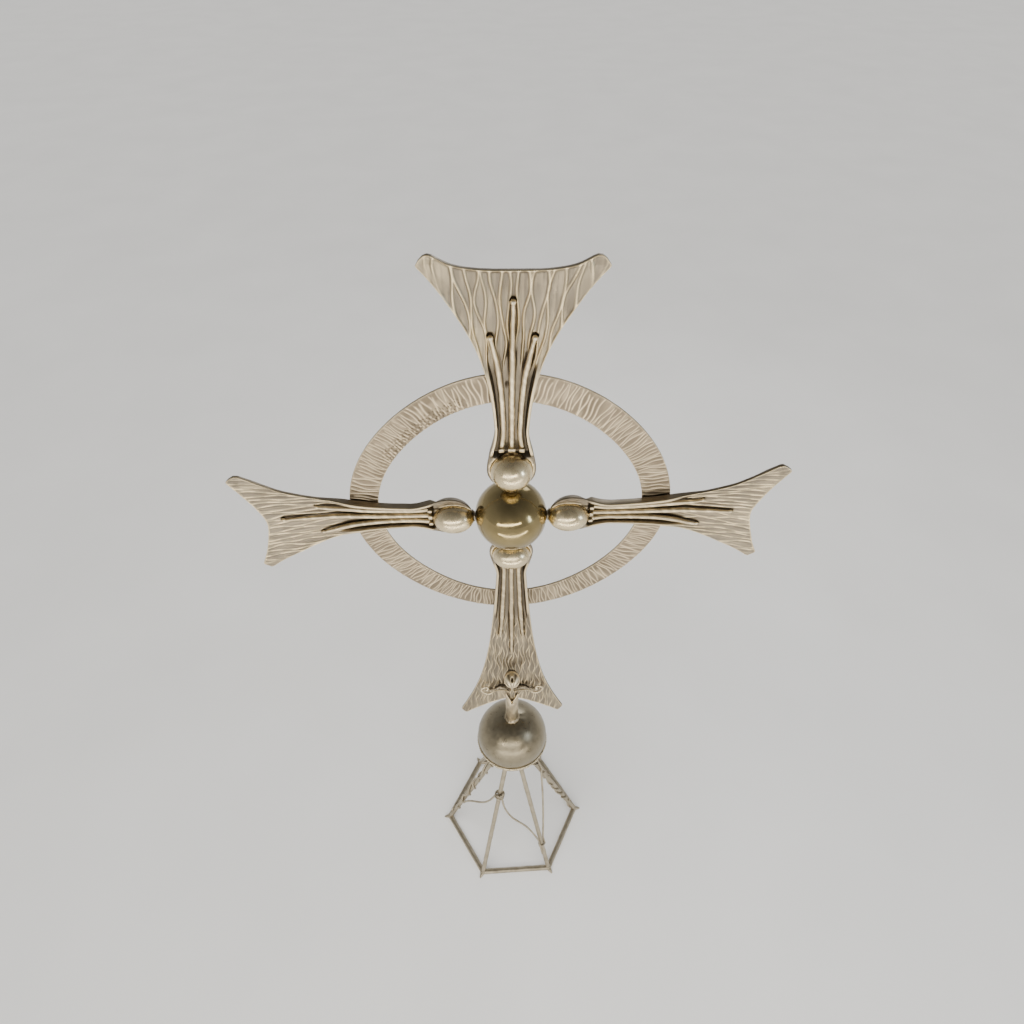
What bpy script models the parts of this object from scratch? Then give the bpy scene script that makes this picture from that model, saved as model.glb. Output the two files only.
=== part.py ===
"""Church ring cross on a six-legged stand.

Metres, +Z up, front towards -Y. The origin is on the floor, on the axis of the stem.
"""
from math import cos, hypot, log, pi, radians, sin, sqrt, tan

import bmesh
import bpy
from mathutils import Vector

# Gap between pieces that touch
clearance = 0.0003

# Heights of the two balls
stand_height = 0.8815
ball_spacing = 1.2905

# Ring
ring_radius = 0.450
ring_band = 0.080
ring_thickness = 0.009
ring_lobe = 0.006
ring_front_y = 0.045
ring_drop = 0.003
ring_stroke_depth = 0.0012
ring_steps = 80

# Centre ball, where the four arms meet
centre_ball_radius = 0.099
centre_ball_y = 0.024

# Pin, cup and egg at the inner end of each arm
pin_radius = 0.0145
pin_y = 0.020
cup_centre_s = 0.1715
cup_radius = 0.0655
cup_wall = 0.0050
cup_rim_y = 0.017
cup_rim_thickness = 0.004
bowl_centre_s = 0.1710
bowl_length = 0.1225
egg_gap = 0.0036

# Channel of the arm, from the cup to the ring
channel_end_s = 0.243
channel_floor_y = 0.036
rim_height = 0.0200
dish_depth = 0.0145
channel_floor_share = 0.76
back_rounding = 0.0065

# Flared plate of the arm, outside the ring
plate_thickness = 0.0106
tip_front_y = -0.0050
sweep_power = 1.5
ridge_height = 0.0032
ridge_wander = 0.014
columns_a_side = 12
rod_column = 6
back_stride = 4
plate_rows = 7

# Rods that lie in the channel
rod_radius = 0.0074
rod_tip_radius = 0.0048
rod_foot_radius = 0.0092
rod_foot_length = 0.010
rod_start_s = 0.246
rod_channel_share = 0.50
rod_tip_share = 0.58
rod_sides = 2
egg_steps = 16

# Stem between the lower arm and the lower ball
stem_radius = 0.0247
stem_bead_radius = 0.0310
stem_bead_height = 0.012
stem_overlap = 0.072
notch_depth = 0.066

# Scrolls and bud on the foot of the lower arm
bud_radius = 0.0290
bud_height = 0.046
bud_s = 0.818
bud_y = -0.024
bud_lobes = 9
bud_rib_depth = 0.12
bud_neck_radius = 0.0075
bud_neck_s = 0.958
scroll_wire = 0.0034
wing_half_width = 0.0175
wing_thickness = 0.0040

# Lower ball and the cup that carries it
lower_ball_radius = 0.144
ball_cup_wall = 0.0032
ball_cup_latitude = -16.0
ball_cup_steps = 4

# Stand
foot_circle_radius = 0.3195
stand_turn = 1.8
leg_count = 6
leg_apex_drop = 0.030
leg_radius = 0.010
leg_end_gap = 0.0012
foot_length = 0.030
foot_point_radius = 0.003
foot_flat = 0.0015
knee_radius = 0.012
bar_radius = 0.012

# Wires tied to the stand
wire_radius = 0.0044
wire_lift = 0.0020
wire_end_gap = 0.012
wire_leave_a = 0.676
wire_at_b = 0.360
wire_at_c = 0.672
wire_end_c = 0.772
wire_bow_ab = (0.005, -0.014, -0.010)
wire_bow_bc = (-0.012, -0.008, -0.004)
wire_bow_dc = (0.004, 0.0, 0.0)
drop_leave_d = 0.364
drop_at_c = 0.662

ring_z = stand_height + ball_spacing
sweep_s = ring_radius + ring_lobe

# Each arm runs out from the ring's centre along s, with u across it
ARMS = {
    "top": dict(turn=0.55, bend=0.0, neck_s=0.306, neck_half=0.0430, corner_s=0.740, corner_half=0.202,
                tip_s=0.770, tip_half=0.176, end_s=0.729, end_power=4.0, tip_lean=0.0,
                straight_share=0.175, flare_power=2.5, rod_middle_s=0.6615, rod_outer_s=0.570,
                egg_width=0.104, egg_length=0.093, egg_s=0.1670, egg_y=0.0095, bowl_width=0.113),
    "right": dict(turn=90, bend=-0.008, neck_s=0.285, neck_half=0.0375, corner_s=0.714, corner_half=0.181,
                  tip_s=0.744, tip_half=0.163, end_s=0.682, end_power=1.65, tip_lean=-0.009,
                  straight_share=0.15, flare_power=2.7, rod_middle_s=0.630, rod_outer_s=0.545,
                  egg_width=0.086, egg_length=0.108, egg_s=0.1650, egg_y=0.0135, bowl_width=0.104),
    "bottom": dict(turn=180, bend=0.0, neck_s=0.262, neck_half=0.0460, corner_s=1.0575, corner_half=0.200,
                   tip_s=1.089, tip_half=0.183, end_s=0.9945, end_power=1.7, tip_lean=0.0,
                   straight_share=0.36, flare_power=3.5, rod_middle_s=0.712, rod_outer_s=0.610,
                   egg_width=0.104, egg_length=0.093, egg_s=0.1640, egg_y=0.0095, bowl_width=0.113),
    "left": dict(turn=-90, bend=0.004, neck_s=0.285, neck_half=0.0375, corner_s=0.714, corner_half=0.181,
                 tip_s=0.744, tip_half=0.163, end_s=0.684, end_power=1.65, tip_lean=0.009,
                 straight_share=0.15, flare_power=2.45, rod_middle_s=0.642, rod_outer_s=0.545,
                 egg_width=0.086, egg_length=0.108, egg_s=0.1650, egg_y=0.0135, bowl_width=0.104),
}


def smooth(low, high, x):
    """Rises from 0 at low to 1 at high with level ends."""
    t = min(max((x - low) / (high - low), 0.0), 1.0)
    return t * t * (3 - 2 * t)


def mix(a, b, t):
    return a + (b - a) * t


# Scene set-up

def clear_scene():
    for obj in list(bpy.data.objects):
        bpy.data.objects.remove(obj, do_unlink=True)


def new_collection(name):
    collection = bpy.data.collections.new(name)
    bpy.context.scene.collection.children.link(collection)
    return collection


def new_material(name, colour, roughness, metallic=1.0):
    material = bpy.data.materials.new(name)
    material.use_nodes = True
    shader = material.node_tree.nodes["Principled BSDF"]
    shader.inputs["Base Color"].default_value = (*colour, 1.0)
    shader.inputs["Roughness"].default_value = roughness
    shader.inputs["Metallic"].default_value = metallic
    return material


clear_scene()
PARTS = new_collection("ring_cross")
CUTTERS = new_collection("cutters")
ARM_BRONZE = new_material("arm_bronze", (0.52, 0.46, 0.35), 0.42)
RING_BRONZE = new_material("ring_bronze", (0.56, 0.48, 0.38), 0.45)
ROD_BRONZE = new_material("rod_bronze", (0.60, 0.53, 0.38), 0.35)
EGG_BRONZE = new_material("egg_bronze", (0.50, 0.42, 0.28), 0.22)
BALL_BRONZE = new_material("ball_bronze", (0.30, 0.24, 0.13), 0.12)
DARK_BRONZE = new_material("dark_bronze", (0.28, 0.25, 0.17), 0.30)
STEM_BRONZE = new_material("stem_bronze", (0.48, 0.42, 0.31), 0.35)
STAND_METAL = new_material("stand_metal", (0.40, 0.38, 0.32), 0.60)


def add_object(name, mesh, material, parent=None, collection=None):
    obj = bpy.data.objects.new(name, mesh)
    (collection or PARTS).objects.link(obj)
    if material:
        mesh.materials.append(material)
    if parent:
        obj.parent = parent
    return obj


def add_empty(name, location, rotation=(0.0, 0.0, 0.0)):
    empty = bpy.data.objects.new(name, None)
    PARTS.objects.link(empty)
    empty.location = location
    empty.rotation_euler = rotation
    return empty


def shade(mesh, sharp=35):
    mesh.shade_smooth()
    mesh.set_sharp_from_angle(angle=radians(sharp))


def finish_mesh(bm, name, sharp=35):
    """Turns a bmesh into a mesh whose faces point out."""
    bmesh.ops.recalc_face_normals(bm, faces=bm.faces)
    mesh = bpy.data.meshes.new(name)
    bm.to_mesh(mesh)
    bm.free()
    shade(mesh, sharp)
    return mesh


def loft(name, rings, sharp=35):
    """Closed skin over rings of points that all have the same count."""
    bm = bmesh.new()
    rows = [[bm.verts.new(point) for point in ring] for ring in rings]
    count = len(rows[0])
    for row, following in zip(rows, rows[1:]):
        for i in range(count):
            j = (i + 1) % count
            bm.faces.new((row[i], row[j], following[j], following[i]))
    bm.faces.new(rows[0])
    bm.faces.new(rows[-1])
    return finish_mesh(bm, name, sharp)


def turned(name, profile, material, parent=None, steps=32, collection=None):
    """Profile of (radius, z) points, listed down the outer side, turned round the Z axis."""
    mesh = bpy.data.meshes.new(name)
    points = [(radius, 0.0, z) for radius, z in profile]
    closed = profile[0][0] > 0.0 and profile[-1][0] > 0.0
    edges = [(i, i + 1) for i in range(len(points) - 1)]
    if closed:
        edges.append((len(points) - 1, 0))
    mesh.from_pydata(points, edges, [])
    obj = add_object(name, mesh, material, parent, collection)
    screw = obj.modifiers.new("turn", "SCREW")
    screw.axis = "Z"
    screw.steps = steps
    screw.render_steps = steps
    screw.use_merge_vertices = True
    screw.merge_threshold = 0.0001
    screw.use_smooth_shade = True
    return obj


def tube(name, points, radii, material, sides=2, parent=None, collection=None):
    """Round rod through points, as a poly curve whose radius follows the list radii."""
    curve = bpy.data.curves.new(name, "CURVE")
    curve.dimensions = "3D"
    curve.bevel_depth = 1.0
    curve.bevel_resolution = sides
    curve.use_fill_caps = True
    spline = curve.splines.new("POLY")
    spline.points.add(len(points) - 1)
    for place, point, radius in zip(spline.points, points, radii):
        place.co = (*point, 1.0)
        place.radius = radius
    return add_object(name, curve, material, parent, collection)


def as_mesh(obj):
    """Replaces a curve object by a mesh object with welded caps."""
    bpy.context.view_layer.update()
    graph = bpy.context.evaluated_depsgraph_get()
    mesh = bpy.data.meshes.new_from_object(obj.evaluated_get(graph))
    bm = bmesh.new()
    bm.from_mesh(mesh)
    bmesh.ops.remove_doubles(bm, verts=bm.verts, dist=0.00001)
    bm.to_mesh(mesh)
    bm.free()
    shade(mesh)
    name = obj.name
    obj.name = name + "_curve"
    solid = bpy.data.objects.new(name, mesh)
    obj.users_collection[0].objects.link(solid)
    solid.matrix_world = obj.matrix_world
    bpy.data.objects.remove(obj, do_unlink=True)
    return solid


def as_cutter(obj):
    obj.hide_render = True
    obj.display_type = "WIRE"
    return obj


def box_cutter(name, low, high):
    bpy.ops.mesh.primitive_cube_add(size=1.0)
    obj = bpy.context.object
    obj.name = name
    size = [b - a for a, b in zip(low, high)]
    middle = [(a + b) / 2 for a, b in zip(low, high)]
    for vertex in obj.data.vertices:
        vertex.co = Vector([m + c * d for m, c, d in zip(middle, vertex.co, size)])
    for collection in list(obj.users_collection):
        collection.objects.unlink(obj)
    CUTTERS.objects.link(obj)
    return as_cutter(obj)


def cut(obj, cutter):
    boolean = obj.modifiers.new("cut " + cutter.name, "BOOLEAN")
    boolean.operation = "DIFFERENCE"
    boolean.object = cutter


# The arm's form, in its own frame: s along Z, u along X, depth along Y

def half_width(arm, s):
    """Half of the arm's width at the distance s from the ring's centre."""
    pin_join_s = cup_centre_s - sqrt(cup_radius ** 2 - pin_radius ** 2)
    if s <= pin_join_s:
        return pin_radius
    if s <= cup_centre_s:
        return sqrt(cup_radius ** 2 - (cup_centre_s - s) ** 2)
    if s <= arm["neck_s"]:
        t = (s - cup_centre_s) / (arm["neck_s"] - cup_centre_s)
        return mix(arm["neck_half"], cup_radius, 0.5 + 0.5 * cos(pi * t))
    t = min((s - arm["neck_s"]) / (arm["corner_s"] - arm["neck_s"]), 1.0)
    flare = mix(t ** arm["flare_power"], t, arm["straight_share"])
    return mix(arm["neck_half"], arm["corner_half"], flare)


def sweep(arm, s):
    """0 up to the ring's outer edge, 1 at the corner of the flared end."""
    return min(max((s - sweep_s) / (arm["corner_s"] - sweep_s), 0.0), 1.0)


def end_s(arm, u):
    """Where the arm ends, along s, at the place u across it."""
    far = min(abs(u), arm["tip_half"]) / arm["tip_half"]
    s = mix(arm["end_s"], arm["tip_s"], far ** arm["end_power"])
    if abs(u) > arm["tip_half"]:
        past = (abs(u) - arm["tip_half"]) / (arm["corner_half"] - arm["tip_half"])
        s = mix(arm["tip_s"], arm["corner_s"], past)
    side = 1 if u > 0 else -1
    return s + side * arm["tip_lean"] * (u / arm["corner_half"]) ** 2


def column_shares(arm, s):
    """Places across half of the arm, from 0 in the middle to 1 at the rim."""
    n, k_rod = columns_a_side, rod_column
    rim = n - 2
    shares = []
    channel = smooth(channel_end_s - 0.030, channel_end_s - 0.010, s)
    plate = smooth(sweep_s - 0.02, sweep_s + 0.06, s)
    rod_share = mix(rod_channel_share, rod_tip_share, sweep(arm, s))
    for k in range(n + 1):
        in_cup = k / n
        floor = channel_floor_share
        if k <= k_rod:
            in_channel = rod_share * k / k_rod
        elif k <= rim:
            in_channel = mix(rod_share, floor, (k - k_rod) / (rim - k_rod))
        else:
            in_channel = floor + 0.07 if k == n - 1 else 1.0
        if k <= k_rod:
            in_plate = rod_share * k / k_rod
        else:
            in_plate = mix(rod_share, 1.0, (k - k_rod) / (n - k_rod))
        shares.append(mix(mix(in_cup, in_channel, channel), in_plate, plate))
    return shares


def floor_y(arm, s):
    return mix(channel_floor_y, tip_front_y, sweep(arm, s) ** sweep_power)


def dish(arm, s):
    return dish_depth * (1 - smooth(0.55, 1.0, sweep(arm, s)))


def ridge(arm, s):
    return ridge_height * smooth(0.03, 0.30, sweep(arm, s))


def front_y(arm, s, k, share):
    """Depth of the arm's front face at column k, which lies at the given share of its width."""
    channel = smooth(channel_end_s - 0.030, channel_end_s - 0.010, s)
    plate = smooth(sweep_s - 0.02, sweep_s + 0.06, s)
    in_cup = cup_rim_y
    rim = 1.0 if k > columns_a_side - 2 else 0.0
    in_channel = channel_floor_y - rim_height * rim
    in_plate = floor_y(arm, s) - dish(arm, s) * share ** 2
    if k % 2:
        in_plate -= ridge(arm, s)
    return mix(mix(in_cup, in_channel, channel), in_plate, plate)


def back_y(arm, s, share):
    """Depth of the arm's back face."""
    channel = smooth(channel_end_s - 0.040, channel_end_s - 0.012, s)
    seat = ring_front_y - clearance
    depth = arm["egg_width"] / 2 + egg_gap + cup_wall
    across = share * half_width(arm, s)
    away = hypot(across, s - cup_centre_s) / cup_radius
    in_cup = arm["egg_y"] + depth * sqrt(max(1 - away ** 2, 0.0))
    in_cup = max(in_cup, cup_rim_y + cup_rim_thickness)
    curl = smooth(0.02, 0.35, sweep(arm, s))
    thickness = mix(seat - channel_floor_y, plate_thickness, curl)
    swept = floor_y(arm, s) + thickness - dish(arm, s) * share ** 2 * curl
    swept -= back_rounding * share ** 4 * (1 - curl)
    return mix(in_cup, swept, channel)


def arm_rows(arm):
    """Distances s, on the arm's middle line, of the rows of its skin."""
    cup = [cup_centre_s + share * cup_radius for share in (-0.88, -0.70, -0.40, 0.0, 0.45)]
    channel = [channel_end_s - 0.012, channel_end_s + 0.010, arm["neck_s"], ring_radius - ring_band]
    plate = [mix(sweep_s, arm["end_s"], i / plate_rows) for i in range(plate_rows + 1)]
    return cup + channel + plate


def arm_point(arm, middle_s, share, k, side):
    """Place (u, s) of column k, on the given side, in the row whose middle is at middle_s."""
    along = max((middle_s - sweep_s) / (arm["end_s"] - sweep_s), 0.0)
    wander = ridge_wander * sin(9.0 * along + 2.3 * k) * smooth(0.0, 0.3, along) * (1 - share)
    if k % rod_column == 0:
        wander = 0.0
    share_here = share + wander
    end = end_s(arm, side * share_here * arm["corner_half"])
    s = middle_s + (end - arm["end_s"]) * along ** 2
    u = side * share_here * half_width(arm, s) + arm["bend"] * along ** 2
    return u, s


def arm_mesh(name, arm):
    """Skin of one arm: ridged front, plainer back, closed round the edge."""
    bm = bmesh.new()
    n = columns_a_side
    front, back = [], []

    pin_start = centre_ball_radius + clearance
    pin_end = cup_centre_s - sqrt(cup_radius ** 2 - pin_radius ** 2)
    for s in (pin_start, pin_end):
        row, low = [], []
        for k in range(-n, n + 1):
            share = k / n
            depth = pin_radius * sqrt(1 - 0.92 * share ** 2)
            row.append(bm.verts.new((share * pin_radius, pin_y - depth, s)))
            if k % back_stride == 0:
                low.append(bm.verts.new((share * pin_radius, pin_y + depth, s)))
        front.append(row)
        back.append(low)

    for middle_s in arm_rows(arm):
        shares = column_shares(arm, middle_s)
        row, low = [], []
        for k in range(-n, n + 1):
            share = shares[abs(k)]
            u, s = arm_point(arm, middle_s, share, abs(k), -1 if k < 0 else 1)
            row.append(bm.verts.new((u, front_y(arm, s, abs(k), share), s)))
            if k % back_stride == 0:
                low.append(bm.verts.new((u, back_y(arm, s, share), s)))
        front.append(row)
        back.append(low)

    for row, following in zip(front, front[1:]):
        for i in range(2 * n):
            bm.faces.new((row[i], row[i + 1], following[i + 1], following[i]))
    for row, following in zip(back, back[1:]):
        for i in range(len(row) - 1):
            bm.faces.new((row[i], following[i], following[i + 1], row[i + 1]))
    for i in range(len(front) - 1):
        bm.faces.new((front[i][0], front[i + 1][0], back[i + 1][0], back[i][0]))
        bm.faces.new((front[i][-1], back[i][-1], back[i + 1][-1], front[i + 1][-1]))
    for row, low in ((front[0], back[0]), (front[-1], back[-1])):
        for i in range(len(low) - 1):
            first = back_stride * i
            bm.faces.new(row[first:first + back_stride + 1] + [low[i + 1], low[i]])
    bmesh.ops.triangulate(bm, faces=bm.faces)
    bmesh.ops.dissolve_limit(bm, angle_limit=radians(0.6), verts=bm.verts, edges=bm.edges)
    bmesh.ops.triangulate(bm, faces=bm.faces)
    return finish_mesh(bm, name, 50)


def rod_points(arm, side, tip_s):
    """Centre line and radii of a rod; side is -1, 0 or 1."""
    k = rod_column if side else 0
    rows = arm_rows(arm)
    marks = [rod_start_s, rod_start_s + rod_foot_length, rod_start_s + rod_foot_length + 0.001]
    marks += [s for s in rows if sweep_s <= s < tip_s - 0.012]
    marks += [tip_s - 0.004, tip_s]
    points, radii = [], []
    for i, middle_s in enumerate(marks):
        below = max(s for s in rows if s <= middle_s)
        above = min([s for s in rows if s > middle_s] or [below])
        t = (middle_s - below) / (above - below) if above > below else 0.0
        low, high = row_place(arm, below, k, side), row_place(arm, above, k, side)
        u, y, s, rise = [mix(a, b, t) for a, b in zip(low, high)]
        radius = mix(rod_radius, rod_tip_radius, smooth(0.0, 1.0, (s - sweep_s) / (tip_s - sweep_s)))
        if i < 2:
            radius = rod_foot_radius
        if i == len(marks) - 1:
            radius *= 0.6
        lift = (radius + 2 * clearance) * sqrt(1 + rise ** 2)
        points.append((u, y - lift, s))
        radii.append(radius)
    return points, radii


def row_place(arm, middle_s, k, side):
    """Place of column k on the front face, and how steeply the face rises beside it."""
    shares = column_shares(arm, middle_s)
    side = side or 1
    u, s = arm_point(arm, middle_s, shares[k], k, side)
    y = front_y(arm, s, k, shares[k])
    rise = 0.0
    for beside in (k - 1, k + 1):
        if beside >= 0:
            u_side, s_side = arm_point(arm, middle_s, shares[beside], beside, side)
            slope = (y - front_y(arm, s_side, beside, shares[beside])) / max(abs(u_side - u), 0.001)
            rise = max(rise, slope)
    return u, y, s, rise


def add_arm(label, arm):
    hub = add_empty("hub_" + label, (0.0, 0.0, ring_z), (0.0, radians(arm["turn"]), 0.0))
    body = add_object("arm_" + label, arm_mesh("arm_" + label, arm), ARM_BRONZE, hub)
    egg_shape = oval_profile(arm["egg_width"], arm["egg_length"])
    egg = turned("egg_" + label, egg_shape, EGG_BRONZE, hub, egg_steps)
    egg.location = (0.0, arm["egg_y"], arm["egg_s"])
    # the bowl is wider than the egg, which rests on its bottom
    bowl_depth = arm["egg_width"] + 2 * egg_gap
    bowl = turned("cut_bowl_" + label, oval_profile(bowl_depth, bowl_length), None, hub, egg_steps,
                  CUTTERS)
    bowl.location = (0.0, arm["egg_y"], bowl_centre_s)
    bowl.scale.x = arm["bowl_width"] / bowl_depth
    cut(body, as_cutter(bowl))
    rods = (("left", -1, "rod_outer_s"), ("middle", 0, "rod_middle_s"), ("right", 1, "rod_outer_s"))
    for place, side, tip in rods:
        points, radii = rod_points(arm, side, arm[tip])
        tube("rod_%s_%s" % (label, place), points, radii, ROD_BRONZE, rod_sides, hub)
    return hub


def oval_profile(width, length, steps=8):
    """Half of an oval, from its top down to its bottom."""
    profile = [(0.0, length / 2)]
    for i in range(1, steps):
        angle = pi * i / steps
        profile.append((width / 2 * sin(angle), length / 2 * cos(angle)))
    profile.append((0.0, -length / 2))
    return profile


# Ring

def add_ring():
    """Flat band of four shallow lobes, its front face cut by radial strokes."""
    rings = []
    for i in range(ring_steps):
        angle = 2 * pi * i / ring_steps
        outer = ring_radius + ring_lobe * cos(4 * angle)
        inner = outer - ring_band
        stroke = ring_stroke_depth * (i % 2)
        way = Vector((sin(angle), 0.0, cos(angle)))
        front = Vector((0.0, ring_front_y + stroke, 0.0))
        back = Vector((0.0, ring_front_y + ring_thickness, 0.0))
        rings.append([way * outer + front, way * inner + front, way * inner + back, way * outer + back])
    bm = bmesh.new()
    rows = [[bm.verts.new(point) for point in ring] for ring in rings]
    for i, row in enumerate(rows):
        following = rows[(i + 1) % ring_steps]
        for a in range(4):
            b = (a + 1) % 4
            bm.faces.new((row[a], row[b], following[b], following[a]))
    ring = add_object("ring", finish_mesh(bm, "ring", 30), RING_BRONZE)
    ring.location.z = ring_z - ring_drop
    return ring


# Balls, stem and ball cup

def ball_profile(radius, top=90.0, bottom=-90.0, steps=12):
    """Points of a circle from the latitude top down to bottom, in degrees."""
    profile = []
    for i in range(steps + 1):
        latitude = radians(mix(top, bottom, i / steps))
        profile.append((radius * cos(latitude), radius * sin(latitude)))
    if top == 90.0:
        profile[0] = (0.0, radius)
    if bottom == -90.0:
        profile[-1] = (0.0, -radius)
    return profile


def lower_ball_profile(radius):
    upper = ball_profile(radius, 90.0, ball_cup_latitude, 7)
    return upper + ball_profile(radius, ball_cup_latitude, -90.0, ball_cup_steps)[1:]


def add_balls():
    ball = turned("centre_ball", ball_profile(centre_ball_radius, steps=10), BALL_BRONZE, steps=20)
    ball.location = (0.0, centre_ball_y, ring_z)
    lower = turned("lower_ball", lower_ball_profile(lower_ball_radius), DARK_BRONZE, steps=20)
    lower.location = (0.0, 0.0, stand_height)


def ball_cup_radius():
    return lower_ball_radius + clearance + ball_cup_wall


def add_ball_cup():
    """Thin bowl under the lower ball, with a level rim."""
    outer = ball_profile(ball_cup_radius(), ball_cup_latitude, -90.0, ball_cup_steps)
    inner = ball_profile(lower_ball_radius + clearance, ball_cup_latitude, -90.0, ball_cup_steps)[::-1]
    mesh = bpy.data.meshes.new("ball_cup")
    points = [(radius, 0.0, z) for radius, z in outer + inner]
    count = len(points)
    edges = [(i, i + 1) for i in range(count - 1) if i != len(outer) - 1]
    edges.append((count - 1, 0))
    mesh.from_pydata(points, edges, [])
    cup = add_object("ball_cup", mesh, STEM_BRONZE)
    screw = cup.modifiers.new("turn", "SCREW")
    screw.steps = 20
    screw.render_steps = 20
    screw.use_merge_vertices = True
    screw.merge_threshold = 0.0001
    screw.use_smooth_shade = True
    cup.location = (0.0, 0.0, stand_height)
    return cup


def arm_foot_y(s, back=False):
    """Depth of the lower arm's face on its middle line."""
    arm = ARMS["bottom"]
    if back:
        return back_y(arm, s, 0.0)
    return floor_y(arm, s)


def add_stem():
    """Round bar from the lower ball to the lower arm, forked over the plate and notched."""
    arm = ARMS["bottom"]
    bottom_z = stand_height + sqrt(lower_ball_radius ** 2 - stem_bead_radius ** 2)
    top_z = ring_z - arm["end_s"] + stem_overlap
    bead = stem_bead_height
    profile = [(0.0, top_z), (stem_radius, top_z), (stem_radius, bottom_z + bead * 1.5),
               (stem_bead_radius, bottom_z + bead * 0.8), (stem_bead_radius, bottom_z),
               (stem_bead_radius * 0.9, bottom_z - 0.002), (0.0, bottom_z - 0.002)]
    stem = turned("stem", profile, STEM_BRONZE, steps=20)
    ball = turned("cut_ball", lower_ball_profile(lower_ball_radius + clearance), None, steps=20,
                  collection=CUTTERS)
    ball.location.z = stand_height
    cut(stem, as_cutter(ball))
    # the slot that holds the plate's lower edge
    edge_s = end_s(arm, stem_radius * 1.8)
    front = min(arm_foot_y(arm["end_s"]), arm_foot_y(arm["end_s"] - stem_overlap)) - ridge_height
    back = max(arm_foot_y(arm["end_s"], True), arm_foot_y(arm["end_s"] - stem_overlap, True))
    gap = 2 * clearance
    reach = 2 * stem_radius
    slot = box_cutter("cut_slot", (-reach, front - gap, ring_z - edge_s - gap),
                      (reach, back + gap, top_z + reach))
    cut(stem, slot)
    # the notch, which leaves a horn on each side
    tip_z = top_z - notch_depth
    curve = bpy.data.curves.new("cut_notch", "CURVE")
    curve.dimensions = "2D"
    curve.fill_mode = "BOTH"
    curve.extrude = reach
    spline = curve.splines.new("POLY")
    spline.points.add(3)
    spread = stem_radius * 1.25
    rise = notch_depth * 1.25
    corners = ((0.0, tip_z), (spread, tip_z + rise), (0.0, tip_z + rise * 1.4), (-spread, tip_z + rise))
    for place, (x, z) in zip(spline.points, corners):
        place.co = (x, z, 0.0, 1.0)
    spline.use_cyclic_u = True
    notch = add_object("cut_notch", curve, None, collection=CUTTERS)
    notch.rotation_euler = (radians(90), 0.0, 0.0)
    cut(stem, as_cutter(as_mesh(notch)))
    return stem


# Bud and scrolls on the foot of the lower arm

def add_bud(hub):
    """Ribbed bud on a short neck, standing clear of the plate."""
    sides = 2 * bud_lobes
    neck_y = arm_foot_y(bud_neck_s) - ridge_height - bud_neck_radius - clearance
    low_y = arm_foot_y(bud_s + bud_height) - ridge_height - bud_neck_radius - 2 * clearance
    stations = [(bud_neck_s, 0.85, neck_y, 0.0), (bud_s + 0.062, 1.0, low_y, 0.0),
                (bud_s + 0.036, 1.5, mix(low_y, bud_y, 0.45), 0.0)]
    for share in (0.85, 0.45, 0.0, -0.50, -0.90):
        wide = bud_radius * sqrt(1 - share ** 2)
        stations.append((bud_s + share * bud_height / 2, wide / bud_neck_radius, bud_y, 1.0))
    rings = []
    for s, wide, y, ribbed in stations:
        ring = []
        for i in range(sides):
            angle = 2 * pi * i / sides
            lobe = 1 - bud_rib_depth * ribbed * (i % 2)
            radius = wide * bud_neck_radius * lobe
            ring.append((radius * cos(angle), y + radius * sin(angle), s))
        rings.append(ring)
    return add_object("bud", loft("bud", rings, 30), STEM_BRONZE, hub)


def spline_points(points, steps):
    """Smooth curve through points of any number of values."""
    result = []
    last = len(points) - 1
    for i in range(last):
        a = points[max(i - 1, 0)]
        b = points[i]
        c = points[i + 1]
        d = points[min(i + 2, last)]
        for j in range(steps):
            t = j / steps
            values = []
            for w, x, y, z in zip(a, b, c, d):
                values.append(0.5 * (2 * x + (y - w) * t + (2 * w - 5 * x + 4 * y - z) * t * t
                                     + (3 * x - w - 3 * y + z) * t ** 3))
            result.append(tuple(values))
    result.append(tuple(points[-1]))
    return result


def plate_front_y(s, u):
    """Front of the lower arm's plate at u across it, at the height of its ridges."""
    arm = ARMS["bottom"]
    share = min(abs(u) / half_width(arm, s), 1.0)
    return floor_y(arm, s) - dish(arm, s) * share ** 2 - ridge(arm, s)


def add_scroll(label, side, hub):
    """Leaf that stands off the plate and runs out into a thin tendril with a curled end."""
    # u, s, half width of the leaf, half thickness, lean of the leaf, height above the plate
    wire = scroll_wire
    leaf, thin = wing_half_width, wing_thickness / 2
    route = [(0.016, 0.930, 0.45 * leaf, thin, 20, 0.000),
             (0.033, 0.906, leaf, thin, 30, 0.009),
             (0.055, 0.903, leaf, thin, 30, 0.012),
             (0.072, 0.922, 0.55 * leaf, thin, 20, 0.008),
             (0.085, 0.938, wire, wire, 0, 0.004),
             (0.103, 0.932, wire, wire, 0, 0.004),
             (0.116, 0.906, wire, wire, 0, 0.006),
             (0.111, 0.885, wire, wire, 0, 0.007),
             (0.098, 0.880, wire, wire, 0, 0.008),
             (0.091, 0.891, 1.1 * wire, 1.1 * wire, 0, 0.009)]
    path = spline_points(route, 2)
    rings = []
    sides = 6
    for i, (u, s, wide, thick, lean, stand_off) in enumerate(path):
        before, after = path[max(i - 1, 0)], path[min(i + 1, len(path) - 1)]
        along = Vector((after[0] - before[0], 0.0, after[1] - before[1])).normalized()
        across = Vector((along.z, 0.0, -along.x))
        tilt = radians(lean)
        wide_way = (across * cos(tilt) + Vector((0.0, -1.0, 0.0)) * sin(tilt)).normalized()
        thick_way = along.cross(wide_way).normalized()
        y = plate_front_y(s, u) - stand_off - thick - clearance
        centre = Vector((u, y, s))
        ring = []
        for j in range(sides):
            angle = 2 * pi * j / sides
            point = centre + wide_way * wide * cos(angle) + thick_way * thick * sin(angle)
            ring.append((side * point.x, point.y, point.z))
        rings.append(ring)
    return add_object("scroll_" + label, loft("scroll_" + label, rings, 40), STEM_BRONZE, hub)


# Stand

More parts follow.
